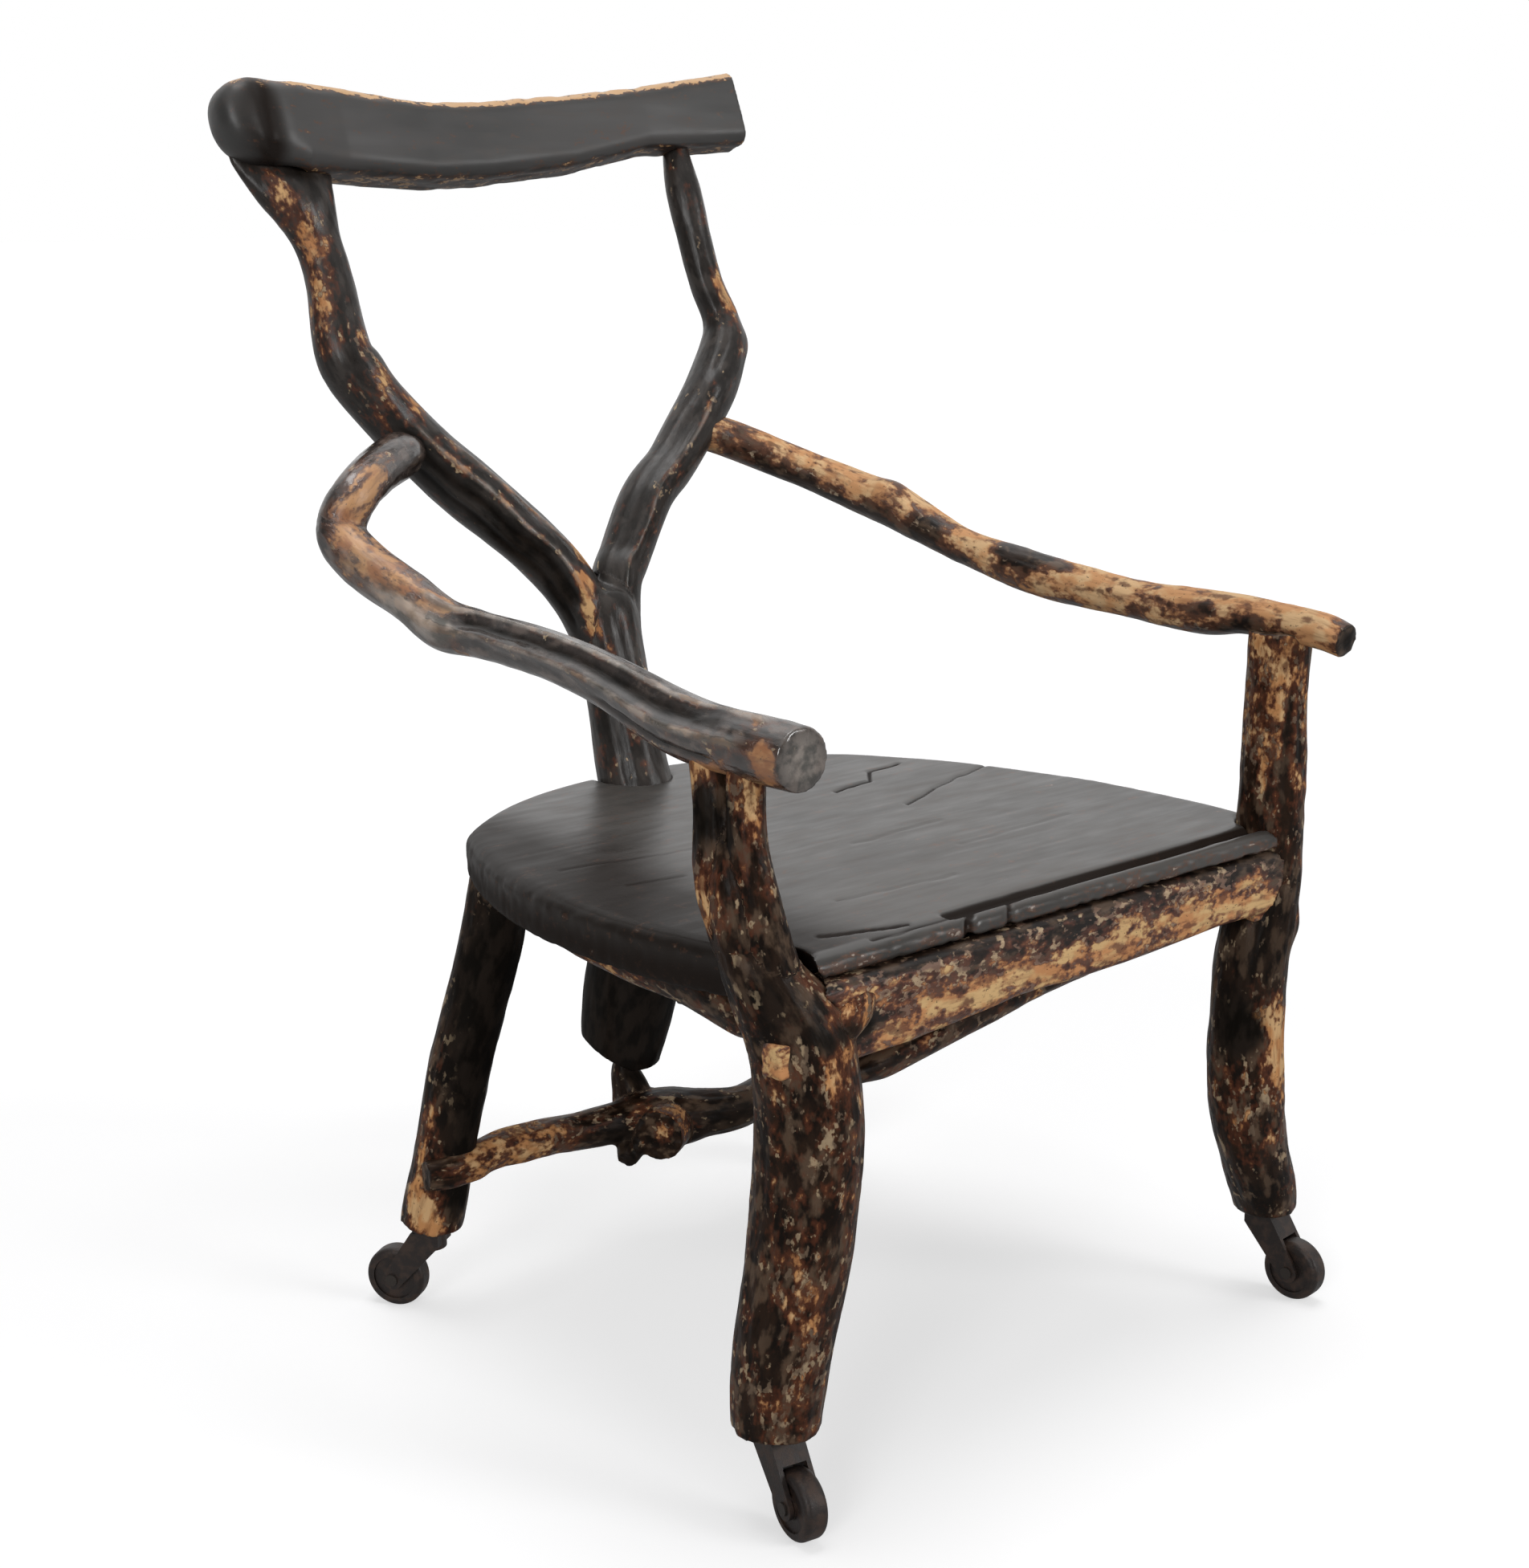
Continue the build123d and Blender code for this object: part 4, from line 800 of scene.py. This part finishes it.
TRUNK_FOOT = 159  # where the trunk stands on the stretcher's stub
back_sticks = [
    Stick(
        (-47, 133, TRUNK_FOOT, 66), (-49, 126, 190, 76), (-46, 117, 240, 82), (-41, 109, 290, 80),
        (-36, 105, 333, 74), (-34, 112, 366, 66), (-31, 135, 423, 61), (-25, 162, 491, 57, 54),
        (-21, 180, 540, 58, 52), (-20, 187, 554, 44, 40), (-19, 191, 563, 20, 20),
    ),
    Stick(
        (-30, 174, 510, 40), (-46, 190, 560, 46), (-73, 206, 599, 48), (-122, 224, 646, 52),
        (-159, 239, 683, 50), (-191, 255, 723, 48), (-205, 265, 747, 50), (-212, 272, 766, 46),
        (-209, 293, 818, 39), (-211, 306, 850, 42, 33), (-216, 315, 876, 60, 36),
        (-220, 323, 892, 76, 33),
        (-222, 332, 907, 88, 24), (-223, 339, 922, 92, 18), (-222, 345, 942, 50, 16), begins=400,
    ),
    Stick(
        (-14, 172, 505, 40), (-2, 190, 560, 44), (18, 202, 585, 45), (55, 218, 630, 46),
        (91, 228, 656, 45), (125, 240, 686, 46), (157, 252, 716, 48), (183, 265, 749, 44),
        (189, 276, 775, 34), (183, 288, 805, 31), (183, 304, 844, 31), (184, 320, 884, 32),
        (187, 334, 915, 26),
        (188, 338, 935, 20), begins=1000,
    ),
]
forked_back = grown("forked_back_wood", *plain_skin(back_sticks), 1.9)
# The foot is sawn at a slant, up towards its left and rear.
places, facing = corners_of(forked_back)
towards_rear = -0.752 * (places[:, 0] + 51) + 0.659 * (places[:, 1] - 131) + 12
slant = TRUNK_FOOT + 0.62 * np.clip(towards_rear, 0, None)
places[:, 2] = np.where(places[:, 2] < 240, np.maximum(places[:, 2], slant), places[:, 2])
forked_back.data.vertices.foreach_set("co", np.ravel(places * MM))
shape_branch(
    forked_back, back_sticks, 81, rough=0.7, ridged=0.2, wear=-0.10, low=TRUNK_FOOT,
    worn=[
        (-241, 307, 888, 14, 0.22), (-222, 296, 862, 14, 0.25), (-229, 288, 835, 13, 0.30),
        (-227, 280, 800, 14, 0.27), (-229, 262, 775, 12, 0.20), (-208, 248, 775, 8, 0.25),
        (-172, 230, 724, 9, 0.45), (-196, 240, 745, 9, 0.36), (-43, 184, 592, 8, 0.8),
        (-49, 172, 572, 7, 0.8), (-50, 168, 552, 7, 0.75), (-49, 160, 532, 6, 0.6),
        (186, 273, 812, 11, 0.34), (194, 262, 790, 10, 0.36), (186, 298, 872, 9, 0.2),
        (186, 240, 746, 10, 0.25), (70, 206, 640, 9, 0.12), (-61, 136, 424, 18, 0.15),
        (-150, 214, 660, 16, 0.12), (-196, 232, 715, 12, 0.2),
    ],
    knots=[(-148, 208, 655, 15, 2.5), (143, 229, 722, 12, 2.5), (196, 258, 752, 12, 2.5)],
    grooves=[
        (440, 660, -2.35, -2.2, 6.0, 3.4), (420, 640, -2.9, -2.7, 4.0, 2.6),
        (450, 660, -1.85, -1.7, 3.5, -1.6), (250, 400, -1.4, -1.9, 5.0, 1.2),
        (240, 400, -2.4, -2.6, 5.0, 1.0), (470, 640, -1.15, -1.2, 3.5, -1.4),
        (1030, 1270, -1.75, -1.6, 3.0, -1.3), (1040, 1250, -2.2, -2.1, 8.0, 1.6),
        (1290, 1420, -2.0, -2.1, 3.0, 1.0),
    ],
    # Spots of painted shade on the trunk's foot under the seat, in the crotch and under the crest;
    # the two negative ones lay pale grey on the trunk above the seat.
    shading_spots=[
        (-100, 196, 600, 16, 0.5), (-60, 184, 560, 14, 0.6), (-46, 110, 300, 70, 1.3),
        (-46, 120, 220, 70, 1.3), (-215, 312, 898, 12, 0.8), (-40, 108, 430, 28, -0.4),
        (-34, 132, 500, 26, -0.4),
    ],
)
back_finish = weathered(
    "back_paint",
    paint=(pigment(34, 30, 27), pigment(48, 43, 40), pigment(68, 62, 58)),
    undercoat=BROWN_UNDERCOAT,
    wood=(pigment(208, 166, 116), pigment(186, 128, 80), pigment(124, 82, 54)),
    flakes=(0.85, PALE_FLAKES[1], pigment(190, 165, 130)),
    dullness=0.34, grit=0.7, bumps=0.6,
)
forked_back.data.materials.append(back_finish)
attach(forked_back, "frame")
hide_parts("forked_back")


# ---------------------------------------------------------------------------------------
# Left arm: a branch with a sharp elbow, bored for the two stems of the left post and
# tenoned into the left tine. Painted and polished in front, rubbed to orange wood behind,
# its butt sawn square.
# ---------------------------------------------------------------------------------------

left_arm_sticks = [
    Stick(
        (-271, -346, 548, 43), (-271, -309, 548, 44), (-271, -232, 550, 44), (-270, -150, 567, 38),
        (-270, -77, 576, 35), (-270, 0, 578, 36), (-276, 41, 581, 39), (-282, 78, 597, 38),
        (-290, 128, 617, 40), (-292, 155, 638, 39), (-278, 157, 664, 38), (-244, 180, 677, 38),
        (-202, 213, 684, 39), (-187, 225, 685, 32), (-168, 238, 685, 24), across=(0, 0, 1),
    ),
]
left_arm = grown("left_arm_wood", *plain_skin(left_arm_sticks), 1.7)
shape_branch(
    left_arm, left_arm_sticks, 91, rough=0.8, ridged=0.5, wear=-0.14,
    worn=[
        (-264, 154, 679, 17, 0.34), (-282, 142, 668, 17, 0.30), (-298, 137, 648, 18, 0.28),
        (-303, 126, 630, 18, 0.24), (-293, 106, 625, 20, 0.26), (-296, 80, 612, 20, 0.26),
        (-286, 55, 606, 18, 0.34), (-283, 34, 599, 10, 0.34), (-300, 60, 590, 14, -0.1),
        (-291, -333, 552, 6, 0.5), (-292, -333, 543, 7, 0.55), (-289, -333, 533, 6, 0.5),
        (-289, -308, 533, 16, 0.26), (-291, -280, 532, 16, 0.24), (-291, -250, 534, 16, 0.26),
        (-290, -215, 538, 14, 0.24), (-290, -180, 546, 12, 0.2), (-288, 10, 564, 10, 0.4),
        (-286, -312, 566, 14, 0.1),
    ],
    knots=[(-294, 30, 578, 13, 2.5), (-284, -283, 566, 9, 2.2), (-288, -270, 564, 10, 1.2)],
    grooves=[
        (50, 370, -0.82, -0.95, 7.0, 3.0), (60, 340, -1.95, -1.85, 6.0, 1.2),
        (20, 420, -0.28, -0.42, 4.0, -2.2), (30, 430, -1.32, -1.38, 3.6, -2.4),
        (60, 200, -2.1, -2.0, 3.0, 1.6),
    ],
    # Spots that lay pale grey over the butt end and the underside of the elbow.
    shading_spots=[
        (-271, -372, 548, 26, -1.0), (-250, 160, 690, 12, -0.5), (-304, 122, 620, 12, -0.7),
        (-302, 84, 600, 12, -0.8), (-299, 60, 590, 12, -0.8), (-294, 30, 582, 14, -0.9),
        (-296, 96, 628, 9, -0.5),
    ],
)
left_arm_finish = weathered(
    "arm_paint",
    paint=(pigment(38, 31, 28), pigment(60, 51, 47), pigment(112, 98, 90)),
    undercoat=pigment(92, 58, 42),
    wood=(pigment(192, 142, 94), pigment(158, 103, 62), pigment(104, 67, 46)),
    flakes=(0.86, PALE_FLAKES[1], pigment(190, 165, 130)),
    dullness=0.22, shine=0.9, chip=12.0, grit=0.5, bumps=0.7,
)
left_arm.data.materials.append(left_arm_finish)
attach(left_arm, "frame")
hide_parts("left_arm")


# ---------------------------------------------------------------------------------------
# Right arm: a long thin branch with a healed knot, bored for the right post and tenoned
# into the right tine. Most of its paint is gone, and what is left lies in patches.
# ---------------------------------------------------------------------------------------

right_arm_sticks = [
    Stick(
        (257, -374, 561, 26), (257, -345, 566, 29), (257, -281, 568, 31), (258, -236, 565, 37),
        (262, -153, 566, 32), (261, -65, 572, 38), (258, 26, 587, 32), (247, 104, 614, 38),
        (215, 190, 644, 34), (163, 229, 671, 35), (124, 236, 684, 34), across=(0, 0, 1),
    ),
]
right_arm = grown("right_arm_wood", *plain_skin(right_arm_sticks), 1.7)
shape_branch(
    right_arm, right_arm_sticks, 101, ridged=0.6, wear=0.38,
    worn=[
        (140, 215, 679, 16, -0.25), (160, 212, 655, 16, -0.3), (190, 196, 640, 16, -0.35),
        (214, 168, 622, 17, -0.4), (228, 140, 606, 17, -0.4), (237, 109, 594, 18, -0.45),
        (232, 112, 612, 9, -0.3), (240, 70, 590, 18, -0.45), (240, 52, 606, 10, -0.35),
        (246, 20, 572, 16, -0.3), (254, -30, 594, 12, -0.6), (256, -62, 592, 12, -0.6),
        (250, -46, 588, 12, -0.5), (252, -92, 588, 8, -0.3), (250, -30, 566, 14, -0.3),
        (252, -100, 556, 14, -0.25), (256, -180, 552, 18, -0.35), (246, -150, 570, 6, -0.3),
        (247, -290, 556, 17, -0.45), (244, -252, 572, 6, -0.25), (256, -377, 562, 9, -1.0),
        (256, -240, 548, 18, -0.3),
    ],
    knots=[
        (241, 104, 630, 14, 5.5), (236, 112, 628, 9, 2.0), (244, -155, 572, 12, 1.5),
        (248, 60, 604, 14, -1.2),
    ],
    # Spots of painted shade on the front end and under the knot and the bend.
    shading_spots=[(256, -378, 561, 10, 0.9), (238, 112, 588, 16, 0.5), (190, 205, 632, 16, 0.5)],
)
right_arm_finish = weathered(
    "right_arm_paint", BLACK_PAINT,
    undercoat=pigment(102, 66, 48),
    wood=(pigment(222, 184, 138), pigment(208, 154, 106), pigment(148, 100, 68)),
    flakes=(0.86, PALE_FLAKES[1], pigment(200, 178, 150)),
    chip=14.0, grit=0.45,
)
right_arm.data.materials.append(right_arm_finish)
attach(right_arm, "frame")
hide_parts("right_arm")


# ---------------------------------------------------------------------------------------
# Crest rail: an oak board hewn from a bent limb, with a swollen rounded left end. It is
# mortised on the two tines and pinned, painted charcoal like the seat, and its top edge is
# rubbed to the wood by hands.
# ---------------------------------------------------------------------------------------

crest = carved("crest_rail", "crest_board", 1.8, 6)
places, facing = corners_of(crest)
grain = places[:, [1, 2, 0]]
hollows = lattice_noise(places * (0.4, 1, 1), 34, 111)
planing = lattice_noise(places * (0.15, 1, 1), 10, 112)
edge_chips = lattice_noise(places * (0.5, 1, 1), 6, 113)
left_end = np.clip((-214 - places[:, 0]) / 16, 0, 1)
places = relaxed(crest, places, left_end, rounds=160)
top = np.clip((facing[:, 2] - 0.50) / 0.3, 0, 1) * (1 - 0.6 * left_end)
under = np.clip((-facing[:, 2] - 0.35) / 0.3, 0, 1) * (1 - left_end)
# A valley runs down the front where the knob begins; painted shadow darkens it and the knob beside
# it.
forward = np.clip(-facing[:, 1], 0, 1)
valley = np.exp(-(((places[:, 0] + 243) / 10) ** 2)) * forward
shadow = np.clip((-228 - places[:, 0]) / 14, 0, 1) * np.clip((places[:, 0] + 282) / 34, 0, 1)
shadow *= 0.35 + 0.65 * forward
chipping = (top + under) * np.minimum(edge_chips, 0.3)
lift = 0.7 * hollows + 0.2 * planing - 0.5 - 5.0 * valley + 0.9 * chipping
# Painted shade: the shadow by the valley, the underside and the left end darker.
finish_skin(
    crest, places + facing * lift[:, None], grain,
    wear=0.34 * top + 0.17 * under,
    relief=0.4 * planing,
    painted_shading=0.75 * shadow + 0.5 * under + 0.2 * left_end,
)
crest_finish = satin(
    "crest_charcoal", pigment(56, 55, 54), pigment(68, 66, 65), edge_wood=pigment(206, 164, 118),
    lines_share=0.08, dullness=0.3,
)
crest.data.materials.append(crest_finish)
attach(crest, "frame")
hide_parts("crest_rail")


# ---------------------------------------------------------------------------------------
# Pins, screws and the spike: riven oak pegs through the crest and the arms, iron screws
# up through the side rails into the seat, and one iron spike driven from the stretcher
# into the foot of the back.
# ---------------------------------------------------------------------------------------

peg = Finish("peg_wood")
peg_streaks = peg.mottle(peg.node("ShaderNodeTexCoord", {}, {}, "Object"), 2, 6.0)
peg.show(
    Base_Color=peg.blend(peg_streaks, pigment(120, 82, 52), pigment(176, 130, 84)),
    Roughness=0.5 + 0.3 * peg_streaks,
)
iron = Finish("pin_iron")
iron_spots = iron.mottle(iron.node("ShaderNodeTexCoord", {}, {}, "Object"), 3)
rust = iron.edge(iron_spots, 0.4, 0.7)
iron.show(
    Base_Color=iron.blend(rust, pigment(52, 46, 42), pigment(96, 60, 42)),
    Metallic=0.7,
    Roughness=0.4 + 0.3 * iron_spots,
)
pins = {"crest_pins": peg, "arm_pins": peg, "seat_screws": iron, "stump_spike": iron}
for name, material in pins.items():
    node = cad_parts[name]
    node.data.materials.clear()
    node.data.materials.append(material.material)


# ---------------------------------------------------------------------------------------
# Casters: a plate whose stem is driven into each foot, a forked cast horn that swivels on
# its pintle and a wheel on an axle. The axle is steel, and the rest is black iron gone
# brown and greasy.
# ---------------------------------------------------------------------------------------

cast = Finish("caster_iron")
cast_place = cast.node("ShaderNodeTexCoord", {}, {}, "Object")
cast_clouds = cast.mottle(cast_place, 9)
cast_grit = cast.mottle(cast_place, 1.2)
grease = cast.edge(cast_clouds, 0.42, 0.66)
cast.show(
    Base_Color=cast.blend(grease, pigment(37, 29, 26), pigment(61, 46, 38)),
    Metallic=0.2,
    Roughness=0.38 + 0.25 * cast_clouds,
    Normal=cast.bump(cast_grit + cast_clouds, 0.4, 0.6),
)
steel = Finish("axle_steel")
steel_clouds = steel.mottle(steel.node("ShaderNodeTexCoord", {}, {}, "Object"), 3)
steel.show(Base_Color=pigment(62, 56, 52), Metallic=0.6, Roughness=0.3 + 0.3 * steel_clouds)
for corner in ("front_left", "front_right", "rear_left", "rear_right"):
    for part, material in (("plate", cast), ("horn", cast), ("wheel", cast), ("axle", steel)):
        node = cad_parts[f"caster_{part}_{corner}"]
        node.data.materials.clear()
        node.data.materials.append(material.material)
        bevel = node.modifiers.new("worn_edges", "BEVEL")
        bevel.width = 0.8 * MM
        bevel.segments = 3
        bevel.limit_method = "ANGLE"


# ---------------------------------------------------------------------------------------
# Floor, light and camera, in metres: a white floor that runs into a white room, two broad
# soft lamps in front of the chair to its left and right, and one above.
# ---------------------------------------------------------------------------------------


def ray_kinds(finish):
    """Three values: 1 for a ray from the camera, off a glossy surface or through glass."""
    kinds = ("Is Camera Ray", "Is Glossy Ray", "Is Transmission Ray")
    return [finish.node("ShaderNodeLightPath", {}, {}, kind) for kind in kinds]


floor_mesh = bpy.data.meshes.new("studio_floor")
reach = 30.0
floor_corners = [(x * reach, y * reach, 0) for x, y in ((-1, -1), (1, -1), (1, 1), (-1, 1))]
floor_mesh.from_pydata(floor_corners, [], [(0, 1, 2, 3)])
floor = bpy.data.objects.new("studio_floor", floor_mesh)
bpy.context.scene.collection.objects.link(floor)
ground = Finish("studio_floor")
to_eye, to_gloss, to_glass = ray_kinds(ground)
looked_at = to_eye + 0.3 * to_gloss + to_glass
ground.show(
    Base_Color=ground.blend(looked_at, (0.3, 0.3, 0.3, 1.0), (0.6, 0.6, 0.605, 1.0)),
    Emission_Color=ground.blend(looked_at, (0.0, 0.0, 0.0, 1.0), (0.53, 0.53, 0.53, 1.0)),
    Emission_Strength=1.0,
    Roughness=0.9,
    Specular_IOR_Level=0.0,
)
floor_mesh.materials.append(ground.material)

room = Finish("studio_room", bpy.data.worlds, "Background")
bpy.context.scene.world = room.material
way = room.node("ShaderNodeTexCoord", {}, {}, "Generated")
backdrop = room.vector("DOT_PRODUCT", way, (0.659, 0.752, 0.0), "Value")
overhead = room.vector("DOT_PRODUCT", way, (0.0, 0.0, 1.0), "Value")
mirrored = 0.14 + 0.86 * room.edge(backdrop, 0.15, 0.6) + 0.7 * room.edge(overhead, 0.5, 0.85)
dim = 0.34  # how bright the room is to what it lights
to_eye, to_gloss, to_glass = ray_kinds(room)
room.show(
    Color=(1.0, 1.0, 1.0, 1.0),
    Strength=dim + (1 - dim) * (to_eye + to_glass) + to_gloss * (mirrored - dim),
)

# Each lamp: where it stands seen from the chair, its strength and how wide it looks in degrees.
for name, spot, power, spread in (
    ("lamp_left", (-3.0, -1.6, 1.3), 0.95, 20),
    ("lamp_right", (1.6, -3.0, 1.3), 0.95, 20),
    ("lamp_above", (0.1, 0.2, 3.0), 1.0, 30),
):
    lamp = bpy.data.lights.new(name, "SUN")
    lamp.energy = power
    lamp.angle = math.radians(spread)
    holder = bpy.data.objects.new(name, lamp)
    bpy.context.scene.collection.objects.link(holder)
    holder.location = spot
    aim = -np.array(spot)
    tilt = math.acos(-aim[2] / np.linalg.norm(aim))
    holder.rotation_euler = (tilt, 0.0, math.atan2(aim[1], aim[0]) - math.pi / 2)

camera_data = bpy.data.cameras.new("camera")
camera_data.sensor_width = 36.0
camera_data.lens = 55.25
camera = bpy.data.objects.new("camera", camera_data)
bpy.context.scene.collection.objects.link(camera)
camera.location = (-1.2512, -1.4276, 0.903)
camera.rotation_euler = (math.radians(75.77), 0.0, math.radians(-41.25))
bpy.context.scene.camera = camera
bpy.context.scene.view_settings.view_transform = "Standard"
